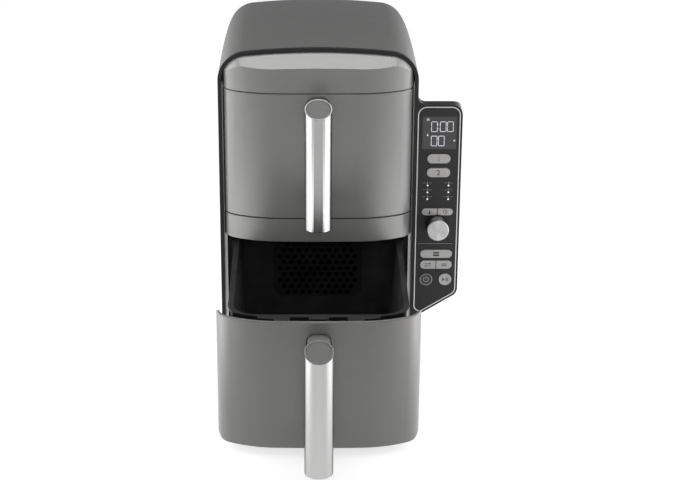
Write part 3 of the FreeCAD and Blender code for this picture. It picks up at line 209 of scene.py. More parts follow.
@dataclass(frozen=True)
class SleeveFinish(BrushedFinish):
    """Plated tube, polished round its axis, with the faces that look up painted darker as painted shade.

    Attributes:
        rim: Linear base colour painted on the faces that look up, a painted shade that dims their highlight.
        draw_out: How far its highlights are drawn out.
        turn: How far they are turned to run along the tube, as a share of a full turn.
        flank: How bright the plating stays where it is seen edge on.
    """

    rim: Colour = (0.09, 0.09, 0.09)
    draw_out: float = 0.7
    turn: float = 0.25
    flank: float = 0.3

    def wire(self, nodes: "NodeSet") -> None:
        """Draws highlights out along the tube and paints the faces that look up darker, as painted shade.

        Args:
            nodes: The material's node helper.
        """
        super().wire(nodes)
        tint = (self.flank, self.flank, self.flank, 1.0)
        plating = {"Anisotropic": self.draw_out, "Anisotropic Rotation": self.turn, "Specular Tint": tint}
        nodes.fill(nodes.shader, plating)
        nodes.turned(self.along)
        # Painted shade: faces that look up get a darker base colour, whatever the light.
        nodes.tint(nodes.upward(), self.rim)


@dataclass(frozen=True)
class SpunFinish(Finish):
    """Metal spun on a lathe about an axis along y.

    Attributes:
        centre: The axis's x and z, in metres.
        rings: Turning marks per metre of radius.
        waver: How far the marks stray from true rings.
        draw_out: How far its highlights are drawn out along the marks.
    """

    centre: Point = (0.0, 0.0)
    rings: float = 1500.0
    waver: float = 1.5
    draw_out: float = 0.95

    def wire(self, nodes: "NodeSet") -> None:
        """Lays concentric turning marks over the metal.

        Args:
            nodes: The material's node helper.
        """
        metal = {"Metallic": self.metallic, "Anisotropic": self.draw_out, "Base Color": (*self.colour, 1.0)}
        nodes.fill(nodes.shader, metal)
        wave = nodes.rings(self.centre, self.rings, self.waver)
        nodes.join(self.uneven(nodes, wave), nodes.shader.inputs["Roughness"])
        nodes.turned(Axis.Y)
        nodes.relief(wave, self.grain_height, self.edge)


@dataclass(frozen=True)
class GlowFinish(Finish):
    """A lit mark behind the panel.

    Attributes:
        strength: How brightly it glows.
    """

    strength: float = 1.0

    def wire(self, nodes: "NodeSet") -> None:
        """Adds a glow of the finish's own colour.

        Args:
            nodes: The material's node helper.
        """
        super().wire(nodes)
        nodes.fill(nodes.shader, {"Emission Color": (*self.colour, 1.0), "Emission Strength": self.strength})


class NodeTools:
    """Short ways to lay nodes in a tree."""

    def __init__(self, tree: bpy.types.NodeTree, kind: str) -> None:
        """Keeps the tree and its main node.

        Args:
            tree: A new node tree.
            kind: The main node's type.
        """
        self.tree = tree
        self.main = next(node for node in tree.nodes if node.type == kind)

    def add(self, kind: str) -> bpy.types.Node:
        """Adds a node of the given kind."""
        return self.tree.nodes.new(kind)

    def join(self, source: bpy.types.NodeSocket, target: bpy.types.NodeSocket) -> None:
        """Links an output to an input."""
        self.tree.links.new(source, target)

    def fill(self, node: bpy.types.Node, values: dict[str, Value]) -> None:
        """Sets a node's inputs by name."""
        for name, value in values.items():
            node.inputs[name].default_value = value

    def place(self, shift: Triple = STILL, stretch: Triple = EVEN) -> bpy.types.NodeSocket:
        """Gives the object's own coordinates, moved and stretched.

        Args:
            shift: How far they move along x, y and z.
            stretch: Their scale along x, y and z.

        Returns:
            The vector output.
        """
        where = self.add("ShaderNodeTexCoord")
        change = self.add("ShaderNodeMapping")
        self.fill(change, {"Location": shift, "Scale": stretch})
        self.join(where.outputs["Object"], change.inputs["Vector"])
        return change.outputs["Vector"]

    def span(
        self, source: bpy.types.NodeSocket, low: float, high: float | bpy.types.NodeSocket, ends: Pair = FIELD
    ) -> bpy.types.NodeSocket:
        """Spreads a field between two numbers.

        Args:
            source: The field.
            low: The number at its low end.
            high: The number at its high end, or an output that gives it.
            ends: The field's low and high ends.

        Returns:
            The number output.
        """
        spread = self.add("ShaderNodeMapRange")
        self.fill(spread, {"From Min": ends[0], "From Max": ends[1], "To Min": low})
        if isinstance(high, float):
            self.fill(spread, {"To Max": high})
        else:
            self.join(high, spread.inputs["To Max"])
        self.join(source, spread.inputs["Value"])
        return spread.outputs["Result"]

    def larger(self, first: bpy.types.NodeSocket, second: bpy.types.NodeSocket) -> bpy.types.NodeSocket:
        """Gives the larger of two numbers.

        Args:
            first: One number's output.
            second: The other's.

        Returns:
            The larger number's output.
        """
        pick = self.add("ShaderNodeMath")
        pick.operation = "MAXIMUM"
        self.join(first, pick.inputs[0])
        self.join(second, pick.inputs[1])
        return pick.outputs[0]


class NodeSet(NodeTools):
    """Short ways to lay the nodes of one material."""

    def __init__(self, tree: bpy.types.NodeTree) -> None:
        """Keeps the tree and its shader.

        Args:
            tree: A new material's node tree.
        """
        super().__init__(tree, "BSDF_PRINCIPLED")
        self.shader = self.main

    def noise(self, scale: float, octaves: float, stretch: Triple) -> bpy.types.NodeSocket:
        """Gives a noise field.

        Args:
            scale: Cells per metre.
            octaves: Octaves of detail.
            stretch: The scale along x, y and z.

        Returns:
            The noise's factor output.
        """
        field = self.add("ShaderNodeTexNoise")
        self.fill(field, {"Scale": scale, "Detail": octaves})
        self.join(self.place(stretch=stretch), field.inputs["Vector"])
        return field.outputs["Fac"]

    def rings(self, centre: Point, scale: float, waver: float) -> bpy.types.NodeSocket:
        """Gives rings about an axis along y.

        Args:
            centre: The axis's x and z.
            scale: Rings per metre.
            waver: How far they stray from true rings.

        Returns:
            The wave's factor output.
        """
        wave = self.add("ShaderNodeTexWave")
        wave.wave_type = "RINGS"
        wave.rings_direction = "Y"
        self.fill(wave, {"Scale": scale, "Distortion": waver})
        self.join(self.place((-centre[0], 0.0, -centre[1])), wave.inputs["Vector"])
        return wave.outputs["Fac"]

    def ramp(self, source: bpy.types.NodeSocket, low: Colour, high: Colour) -> bpy.types.NodeSocket:
        """Spreads a field between two colours.

        Args:
            source: A field from 0 to 1.
            low: The colour at the field's low end.
            high: The colour at the field's high end.

        Returns:
            The colour output.
        """
        ramp = self.add("ShaderNodeValToRGB")
        for end, position, colour in zip(ramp.color_ramp.elements, FIELD, (low, high)):
            end.position = position
            end.color = (*colour, 1.0)
        self.join(source, ramp.inputs["Fac"])
        return ramp.outputs["Color"]

    def turned(self, axis: Axis) -> None:
        """Sets the shader's grain round the middle of the piece.

        Args:
            axis: The axis that the grain goes round.
        """
        turn = self.add("ShaderNodeTangent")
        turn.direction_type = "RADIAL"
        turn.axis = axis.name
        self.join(turn.outputs["Tangent"], self.shader.inputs["Tangent"])

    def upward(self) -> bpy.types.NodeSocket:
        """Tells faces that look up from upright ones.

        Returns:
            An output that is 1 on faces that look up and 0 on upright ones.
        """
        face = self.add("ShaderNodeNewGeometry")
        parts = self.add("ShaderNodeSeparateXYZ")
        self.join(face.outputs["True Normal"], parts.inputs["Vector"])
        return self.span(parts.outputs["Z"], 0.0, 1.0)

    def tint(self, share: bpy.types.NodeSocket, colour: Colour) -> None:
        """Lays another colour over part of the base.

        Args:
            share: A field from 0 to 1, 1 where the other colour shows.
            colour: The other colour.
        """
        base = self.shader.inputs["Base Color"]
        mix = self.add("ShaderNodeMixRGB")
        self.fill(mix, {"Color2": (*colour, 1.0)})
        self.join(base.links[0].from_socket, mix.inputs["Color1"])
        self.join(share, mix.inputs["Fac"])
        self.join(mix.outputs["Color"], base)

    def relief(self, source: bpy.types.NodeSocket, height: float, edge: float) -> None:
        """Raises a field on the surface, over softened edges.

        Args:
            source: A field from 0 to 1.
            height: The relief's height, in metres.
            edge: The radius of the softened edges, in metres.
        """
        bump = self.add("ShaderNodeBump")
        self.fill(bump, {"Strength": 1.0, "Distance": height})
        self.join(source, bump.inputs["Height"])
        if edge > 0.0:
            soft = self.add("ShaderNodeBevel")
            soft.samples = BEVEL_SAMPLES
            self.fill(soft, {"Radius": edge})
            self.join(soft.outputs["Normal"], bump.inputs["Normal"])
        self.join(bump.outputs["Normal"], self.shader.inputs["Normal"])


GREY_PAINT = Finish(
    "grey_paint", (0.176, 0.175, 0.17), 0.33, metallic=0.16, tone=0.02, gloss_spread=0.012, grain=5000.0,
    grain_height=4e-6,
)
SHELL_PAINT = Finish("shell_paint", (0.125, 0.124, 0.121), 0.55, grain=5000.0, grain_height=4e-6)
CAP_GREY = Finish("cap_grey", (0.21, 0.209, 0.204), 0.55, grain=4000.0, specular=0.2)
BLACK_PLASTIC = Finish("black_plastic", (0.008, 0.008, 0.008), 0.36, grain=3200.0, specular=0.25)
WING_PLASTIC = Finish("wing_plastic", (0.014, 0.014, 0.014), 0.5, grain=2600.0, grain_height=1e-5)
BRACKET_BLACK = Finish("bracket_black", (0.006, 0.006, 0.006), 0.5, grain=1800.0, specular=0.25)
BASE_PLASTIC = Finish("base_plastic", (0.018, 0.018, 0.018), 0.6, grain=1600.0, grain_height=2e-5)
PANEL_FILM = Finish(
    "panel_film", (0.009, 0.0086, 0.009), 0.46, tone=0.1, specular=0.3, grain=3000.0, edge=0.1 * MM,
)
TRIM_GREY = Finish("trim_grey", (0.7, 0.7, 0.69), 0.4, metallic=0.6, edge=0.2 * MM)
SILVER_TRIM = BrushedFinish("silver_trim", (0.5, 0.5, 0.5), 0.3, metallic=1.0, edge=0.1 * MM)
KEY_GREY = Finish("key_grey", (0.385, 0.377, 0.371), 0.5, grain=3500.0, edge=0.4 * MM)
KEY_BLACK = Finish("key_black", (0.02, 0.019, 0.02), 0.45, edge=0.4 * MM)
DISPLAY_GLASS = Finish("display_glass", (0.034, 0.034, 0.038), 0.16, tone=0.08, grain=900.0, grain_height=0.0)
CHROME = SleeveFinish(
    "chrome", (0.33, 0.33, 0.326), 0.22, metallic=1.0, gloss_spread=0.03, grain=6000.0, grain_height=1e-6,
    tone=0.02,
)
SATIN_CHROME = SleeveFinish(
    "satin_chrome", (0.41, 0.41, 0.406), 0.34, metallic=1.0, grain=6000.0, grain_height=2e-6, tone=0.03,
)
NONSTICK = Finish(
    "nonstick", (0.028, 0.028, 0.028), 0.5, tone=0.3, grain=1400.0, grain_height=1.2e-5, specular=0.08,
)
CHAMBER_COAT = Finish(
    "chamber_coat", (0.02, 0.02, 0.02), 0.55, tone=0.25, grain=1500.0, grain_height=1e-5, specular=0.15,
)
SCREEN_COAT = Finish("screen_coat", (0.016, 0.016, 0.016), 0.5, tone=0.3, grain=1400.0, specular=0.1)
RUBBER = Finish("rubber", (0.02, 0.02, 0.02), 0.8, grain=1500.0, grain_height=2e-5)
SILICONE = Finish("silicone", (0.03, 0.03, 0.03), 0.65, grain=1500.0)
STEEL = BrushedFinish("steel", (0.45, 0.45, 0.44), 0.35, metallic=1.0, along=Axis.Y)
MOTOR_CAN = Finish("motor_can", (0.33, 0.33, 0.32), 0.4, metallic=0.8)
SOLDER_MASK = Finish("solder_mask", (0.015, 0.09, 0.04), 0.4, tone=0.2, grain=700.0)
LAMP_WHITE = GlowFinish("lamp_white", (0.9, 0.9, 0.9), 0.4, tone=0.02, edge=0.0, strength=0.5)
DIGIT_WHITE = GlowFinish("digit_white", (0.78, 0.78, 0.86), 0.4, tone=0.02, edge=0.0, strength=0.32)
PRINT_DARK = Finish("print_dark", (0.03, 0.03, 0.03), 0.6, edge=0.0)
PRINT_FAINT = Finish("print_faint", (0.2, 0.195, 0.19), 0.6, edge=0.0)
PRINT_PALE = Finish("print_pale", (0.3, 0.3, 0.3), 0.6, edge=0.0)


# Mesh helpers


def dress(finishes: dict[str, Finish], prefix: str = "") -> None:
    """Gives CAD nodes their finishes.

    Args:
        finishes: What each node is made of.
        prefix: The start of every node's name.
    """
    for word, finish in finishes.items():
        node = prefix + word
        data = bpy.data.objects[node].data
        data.materials.clear()
        data.materials.append(finish.material())
        LOG.info("dressed %s in %s", node, finish.name)


def middle(node: str) -> Vector:
    """Gives the middle of a CAD node's box."""
    low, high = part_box(node)
    return (low + high) / 2.0


def link(name: str, mesh: bpy.types.Mesh, finish: Finish, body: str) -> None:
    """Puts a finished mesh in the scene, riding on a body.

    Args:
        name: The piece's name.
        mesh: Its mesh, in the frame's own coordinates.
        finish: What it is made of.
        body: The body that carries it.
    """
    mesh.materials.append(finish.material())
    piece = bpy.data.objects.new(name, mesh)
    bpy.context.scene.collection.objects.link(piece)
    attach(piece, body)
    LOG.info("built %s", name)


def raised(name: str, loops: Iterable[Loop], front: float, depth: float) -> bpy.types.Mesh:
    """Makes thin plates that face -y from outlines in x and z.

    Args:
        name: The mesh's name.
        loops: Closed outlines, in metres.
        front: The y of the plates' faces.
        depth: How far they go back.

    Returns:
        The mesh.
    """
    work = bmesh.new()
    for loop in loops:
        corners = [work.verts.new((x, front + depth, z)) for x, z in loop]
        base = work.faces.new(corners)
        grown = bmesh.ops.extrude_face_region(work, geom=[base])
        moved = [item for item in grown["geom"] if isinstance(item, bmesh.types.BMVert)]
        bmesh.ops.translate(work, verts=moved, vec=(0.0, -depth, 0.0))
    bmesh.ops.recalc_face_normals(work, faces=work.faces)
    mesh = bpy.data.meshes.new(name)
    work.to_mesh(mesh)
    work.free()
    return mesh


def bar(x: float, z: float, width: float, height: float) -> Loop:
    """Gives an upright rectangle about a point.

    Args:
        x: The middle's x.
        z: The middle's z.
        width: Its width.
        height: Its height.

    Returns:
        The rectangle's outline.
    """
    left, right = x - width / 2.0, x + width / 2.0
    low, high = z - height / 2.0, z + height / 2.0
    return [(left, low), (right, low), (right, high), (left, high)]


def sector(rise: float, radii: Pair, start: float = 0.0, sweep: float = FULL_DEGREES) -> list[Loop]:
    """Gives a ring or part of one, about a point on the z axis, as a row of small blocks.

    Args:
        rise: The middle's z.
        radii: The inner and outer radius.
        start: The first angle, in degrees from +x towards +z.
        sweep: How far it goes round, in degrees.

    Returns:
        The blocks' outlines.
    """
    inner, outer = radii
    count = max(int(sweep / BLOCK_DEGREES), 1)
    blocks = []
    for step in range(count):
        first = math.radians(start + sweep * step / count)
        last = math.radians(start + sweep * (step + 1) / count)
        corners = [(inner, first), (outer, first), (outer, last), (inner, last)]
        blocks.append([(radius * math.cos(turn), rise + radius * math.sin(turn)) for radius, turn in corners])
    return blocks


# Signs


@dataclass(frozen=True)
class Signs:
    """Outlines of the plain signs, in x and z.

    Attributes:
        line: Width of a thin line.
        bulb: Radius of the thermometer's bulb.
        bulb_drop: How far the bulb's middle is under the sign's.
        stem: Length of the thermometer's stem.
        stem_rise: How far the stem's middle is over the sign's.
        face: Inner and outer radius of the clock's face.
        hands: Lengths of the clock's upright and level hands.
        hand_reach: How far a hand's middle is from the face's.
        degree_ring: Inner and outer radius of the degree ring.
        block: Width and height of a block of the stack.
        block_rise: How far a block's middle is from the stack's.
        arrow_back: How far the back of an arrow's head is from the sign's middle.
        arrow_tip: How far its tip is from the sign's middle.
        arrow_rise: How far an arrow's line is over or under the middle.
        arrow_half: Half the height of an arrow's head.
        shaft: Length of an arrow's shaft.
        shaft_shift: How far the shaft's middle is from the sign's.
        dash: Width and height of a dash of the equals sign.
        dash_rise: How far a dash is from the middle.
        power_ring: Inner and outer radius of the power sign's ring.
        power_start: Where that ring starts, in degrees.
        power_sweep: How far it goes round, in degrees.
        key_rim: Inner and outer radius of the ring round the power key.
        power_mark: Length of the power sign's upright.
        power_rise: How far the upright's middle is over the sign's.
        play_back: How far the start sign's triangle reaches to the left.
        play_tip: How far its tip is left of the middle.
        play_half: Half the triangle's height.
        pause: Width and height of a pause bar.
        pause_spots: How far the pause bars are right of the middle.
    """

    line: float = 0.7 * MM
    bulb: float = 1.3 * MM
    bulb_drop: float = 1.5 * MM
    stem: float = 3.4 * MM
    stem_rise: float = 0.8 * MM
    face: Pair = (1.9 * MM, 2.5 * MM)
    hands: Pair = (1.5 * MM, 1.6 * MM)
    hand_reach: float = 0.6 * MM
    degree_ring: Pair = (0.9 * MM, 1.7 * MM)
    block: Pair = (7.0 * MM, 2.2 * MM)
    block_rise: float = 1.6 * MM
    arrow_back: float = 1.6 * MM
    arrow_tip: float = 4.0 * MM
    arrow_rise: float = 1.4 * MM
    arrow_half: float = 1.2 * MM
    shaft: float = 5.0 * MM
    shaft_shift: float = 1.0 * MM
    dash: Pair = (6.0 * MM, 0.9 * MM)
    dash_rise: float = 1.0 * MM
    power_ring: Pair = (2.6 * MM, 3.3 * MM)
    power_start: float = 125.0
    power_sweep: float = 290.0
    key_rim: Pair = (6.6 * MM, 7.3 * MM)
    power_mark: float = 3.2 * MM
    power_rise: float = 2.3 * MM
    play_back: float = 3.4 * MM
    play_tip: float = 0.2 * MM
    play_half: float = 2.4 * MM
    pause: Pair = (1.0 * MM, 4.4 * MM)
    pause_spots: Pair = (1.4 * MM, 3.4 * MM)

    def draw(self, icon: Icon, x: float, z: float, scale: float = 1.0) -> list[Loop]:
        """Gives a sign's outlines about a point.

        Args:
            icon: Which sign.
            x: Its middle x.
            z: Its middle z.
            scale: Its size against a sign on a key.

        Returns:
            Closed outlines, in metres.
        """
        makers: dict[Icon, Callable[[], list[Loop]]] = {
            Icon.THERMOMETER: self.thermometer,
            Icon.CLOCK: self.clock,
            Icon.DEGREE: self.degree,
            Icon.STACK: self.stack,
            Icon.ARROWS: self.arrows,
            Icon.EQUALS: self.equals,
            Icon.POWER: self.power,
            Icon.START: self.start,
        }
        return [[(x + scale * across, z + scale * up) for across, up in loop] for loop in makers[icon]()]

    def thermometer(self) -> list[Loop]:
        """Gives a bulb under a stem."""
        bulb = sector(-self.bulb_drop, (0.0, self.bulb))
        return bulb + [bar(0.0, self.stem_rise, self.line, self.stem)]

    def clock(self) -> list[Loop]:
        """Gives a round face with two hands.

        Returns:
            The face's outlines and the hands'.
        """
        upright, level = self.hands
        hands = [bar(0.0, self.hand_reach, self.line, upright), bar(self.hand_reach, 0.0, level, self.line)]
        return sector(0.0, self.face) + hands

    def degree(self) -> list[Loop]:
        """Gives a small ring."""
        return sector(0.0, self.degree_ring)

    def stack(self) -> list[Loop]:
        """Gives two blocks, one over the other."""
        return [bar(0.0, self.block_rise, *self.block), bar(0.0, -self.block_rise, *self.block)]

    def arrows(self) -> list[Loop]:
        """Gives an arrow to the right over one to the left.

        Returns:
            The heads' outlines and the shafts'.
        """
        level, half, back = self.arrow_rise, self.arrow_half, self.arrow_back
        right = [(back, level - half), (self.arrow_tip, level), (back, level + half)]
        left = [(-back, -level - half), (-back, half - level), (-self.arrow_tip, -level)]
        upper = bar(-self.shaft_shift, level, self.shaft, self.line)
        lower = bar(self.shaft_shift, -level, self.shaft, self.line)
        return [right, left, upper, lower]

    def equals(self) -> list[Loop]:
        """Gives two dashes, one over the other."""
        return [bar(0.0, self.dash_rise, *self.dash), bar(0.0, -self.dash_rise, *self.dash)]

    def power(self) -> list[Loop]:
        """Gives a broken ring with an upright, inside the key's ring."""
        ring = sector(0.0, self.power_ring, self.power_start, self.power_sweep)
        return ring + sector(0.0, self.key_rim) + [bar(0.0, self.power_rise, self.line, self.power_mark)]

    def start(self) -> list[Loop]:
        """Gives a triangle that points right, beside two bars."""
        play = [(-self.play_back, -self.play_half), (-self.play_tip, 0.0), (-self.play_back, self.play_half)]
        return [play] + [bar(spot, 0.0, *self.pause) for spot in self.pause_spots]


# The studio


@dataclass(frozen=True)
class SoftBox:
    """A soft box of the studio.

    Attributes:
        name: Its name, or the end of its name where it is one of a pair.
        place: How far it is to the side, behind the bezel and over the floor.
        size: Its width and height.
        level: How bright it is.
        diffuse: Whether it lights surfaces.
        glossy: Whether it shows in a gloss.
    """

    name: str
    place: Triple
    size: Pair
    level: float
    diffuse: bool = True
    glossy: bool = True

    def stand(self, place: Vector, target: Vector, side: str = "") -> None:
        """Puts the box in the scene.

        Args:
            place: Where it is.
            target: What it points at.
            side: The start of its name where it is one of a pair.
        """
        data = bpy.data.lights.new(side + self.name, "AREA")
        data.shape = "RECTANGLE"
        data.size, data.size_y = self.size
        data.energy = self.level * math.pi * self.size[0] * self.size[1]
        lamp = bpy.data.objects.new(side + self.name, data)
        lamp.location = place
        lamp.visible_camera = False
        lamp.visible_diffuse = self.diffuse
        lamp.visible_glossy = self.glossy
        lamp.rotation_euler = (target - place).to_track_quat("-Z", "Y").to_euler()
        bpy.context.scene.collection.objects.link(lamp)


@dataclass
class Studio:
    """Floor, soft light and the camera at the photograph's view.

    Attributes:
        sensor: Width of the camera's sensor, in millimetres.
        lens: Focal length, in millimetres.
        distance: The camera's distance in front of the bezel.
        height: The camera's height over the floor.
        aside: How far the camera stands to the right of the shell's middle.
        pitch: How far the camera looks down, in degrees.
        shift: How far the picture is set to the right of the lens's axis, in picture widths.
        floor_half: Half the floor's side.
        floor_drop: How far the floor lies under the feet.
        floor_roughness: The floor's roughness.
        floor_tone: The floor's own paleness.
        floor_glow: How much of the floor's white is its own to the camera, far from the object.
        near_glow: How much of it is its own near the object, where its shadow shows.
        near_spot: The middle of that nearer floor, in x and y.
        near_reach: The distances from there at which the floor starts and ends its change.
        floor_sheen: How much of it shows in a gloss.
        world_level: The light of the surroundings.
        backdrop_top: The height, as a share of a unit ray, at which the pale backdrop ends.
        backdrop_fade: The height at which it has faded into the darker room.
        room_level: How bright the room over the backdrop shows in a gloss.
        side_box: The tall boxes at both sides, which light surfaces alone.
        side_card: The cards behind them, which show in a gloss in their stead.
        low_box: The low boxes beside the open drawer.
        corner_box: The cards at the rear corners.
        fill_box: The box just over the camera.
        top_box: The box high over the roof's rear, whose height is taken from the roof.
    """

    sensor: float = 36.0
    lens: float = 95.03
    distance: float = 1.947
    height: float = 0.947
    aside: float = -0.010
    pitch: float = 22.2
    shift: float = 0.0451
    floor_half: float = 6.0
    floor_drop: float = 0.1 * MM
    floor_roughness: float = 0.9
    floor_tone: float = 0.55
    floor_glow: float = 0.92
    near_glow: float = 0.64
    near_spot: Point = (0.0, -0.2)
    near_reach: Pair = (0.2, 0.4)
    floor_sheen: float = 1.0
    world_level: float = 0.15
    backdrop_top: float = 0.02
    backdrop_fade: float = 0.25
    room_level: float = 0.15
    side_box: SoftBox = SoftBox("box", (0.44, -0.09, 0.4), (0.5, 0.8), 2.7, glossy=False)
    side_card: SoftBox = SoftBox("card", (0.45, -0.09, 0.4), (0.5, 0.8), 2.3, diffuse=False)
    low_box: SoftBox = SoftBox("low_box", (0.34, -0.3, 0.055), (0.36, 0.11), 2.5)
    corner_box: SoftBox = SoftBox("corner_box", (0.46, 0.24, 0.54), (0.26, 0.72), 5.0, diffuse=False)
    fill_box: SoftBox = SoftBox("fill_box", (0.0, -1.9, 1.1), (0.8, 0.5), 5.5)
    top_box: SoftBox = SoftBox("top_box", (0.0, 0.42, 1.38), (1.8, 0.5), 8.0, diffuse=False)

    def build(self) -> None:
        """Sets up the whole studio."""
        scene = bpy.context.scene
        scene.view_settings.view_transform = "Standard"
        self.place_camera(scene)
        self.lay_floor()
        self.light_world(scene)
        self.hang_lamps()

    def place_camera(self, scene: bpy.types.Scene) -> None:
        """Puts the camera where the photograph was taken from.

        Args:
            scene: The scene that it looks at.
        """
        data = bpy.data.cameras.new("camera")
        data.sensor_width = self.sensor
        data.lens = self.lens
        data.shift_x = self.shift
        camera = bpy.data.objects.new("camera", data)
        bezel_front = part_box("front_bezel")[0].y
        camera.location = (middle("outer_wrap").x + self.aside, bezel_front - self.distance, self.height)
        camera.rotation_euler = (math.radians(90.0 - self.pitch), 0.0, 0.0)
        scene.collection.objects.link(camera)
        scene.camera = camera

    def lay_floor(self) -> None:
        """Lays a pale floor that keeps a faint shadow."""
        work = bmesh.new()
        bmesh.ops.create_grid(work, x_segments=1, y_segments=1, size=self.floor_half)
        mesh = bpy.data.meshes.new("floor")
        work.to_mesh(mesh)
        work.free()
        floor = bpy.data.objects.new("floor", mesh)
        floor.location = (0.0, 0.0, -self.floor_drop)
        bpy.context.scene.collection.objects.link(floor)
        pale = bpy.data.materials.new("pale_floor")
        pale.use_nodes = True
        nodes = NodeSet(pale.node_tree)
        nodes.fill(nodes.shader, {
            "Base Color": (self.floor_tone, self.floor_tone, self.floor_tone, 1.0),
            "Roughness": self.floor_roughness,
            "Specular IOR Level": 0.0,
            "Emission Color": WHITE,
        })
        path = nodes.add("ShaderNodeLightPath")
        sheen = nodes.larger(path.outputs["Is Glossy Ray"], path.outputs["Is Transmission Ray"])
        shine = nodes.span(sheen, 0.0, self.floor_sheen, UNIT)
        glow = nodes.span(path.outputs["Is Camera Ray"], 0.0, self.own_white(nodes), UNIT)
        nodes.join(nodes.larger(shine, glow), nodes.shader.inputs["Emission Strength"])
        mesh.materials.append(pale)

    def own_white(self, nodes: NodeTools) -> bpy.types.NodeSocket:
        """Gives the floor's own white, which is less near the object.

        Args:
            nodes: The floor's node helper.

        Returns:
            The strength output.
        """
        away = nodes.add("ShaderNodeVectorMath")
        away.operation = "LENGTH"
        nodes.join(nodes.place((-self.near_spot[0], -self.near_spot[1], 0.0)), away.inputs[0])
        return nodes.span(away.outputs["Value"], self.near_glow, self.floor_glow, self.near_reach)

    def light_world(self, scene: bpy.types.Scene) -> None:
        """Surrounds the object with even light, and with a backdrop that shows as white.

        Args:
            scene: The scene that is lit.
        """
        world = bpy.data.worlds.new("surroundings")
        world.use_nodes = True
        scene.world = world
        nodes = NodeTools(world.node_tree, "BACKGROUND")
        nodes.fill(nodes.main, {"Color": WHITE})
        path = nodes.add("ShaderNodeLightPath")
        ray = nodes.add("ShaderNodeTexCoord")
        parts = nodes.add("ShaderNodeSeparateXYZ")
        nodes.join(ray.outputs["Generated"], parts.inputs["Vector"])
        ends = (self.backdrop_top, self.backdrop_fade)
        backdrop = nodes.span(parts.outputs["Z"], 1.0, self.room_level, ends)
        sheen = nodes.larger(path.outputs["Is Glossy Ray"], path.outputs["Is Transmission Ray"])
        light = nodes.span(sheen, self.world_level, backdrop, UNIT)
        shown = nodes.larger(path.outputs["Is Camera Ray"], light)
        nodes.join(shown, nodes.main.inputs["Strength"])

    def hang_lamps(self) -> None:
        """Stands soft boxes in pairs at the sides and one in front, and hangs one over the roof."""
        foot = Vector((middle("outer_wrap").x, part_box("front_bezel")[0].y, 0.0))
        roof = foot + Vector((0.0, 0.0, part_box("outer_wrap")[1].z))
        for word, side in SIDES.items():
            for box in (self.side_box, self.side_card, self.low_box, self.corner_box):
                reach, behind, rise = box.place
                aim = foot + Vector((0.0, behind, rise))
                box.stand(aim + Vector((side * reach, 0.0, 0.0)), aim, word)
        self.fill_box.stand(foot + Vector(self.fill_box.place), roof)
        self.top_box.stand(roof + Vector(self.top_box.place), roof)


# The object


@dataclass
class Housing:
    """The shell, its base and rear, the bezel and the fascias."""

    def build(self) -> None:
        """Dresses the housing's nodes."""
        dress({
            "outer_wrap": SHELL_PAINT,
            "top_fascia": GREY_PAINT,
            "divider_fascia": GREY_PAINT,
            "front_bezel": BLACK_PLASTIC,
            "panel_housing": WING_PLASTIC,
            "rear_cover": BASE_PLASTIC,
            "base_pan": BASE_PLASTIC,
            "rubber_feet": RUBBER,
            "cord_gland": RUBBER,
            "side_trims": TRIM_GREY,
            "power_board": SOLDER_MASK,
        })


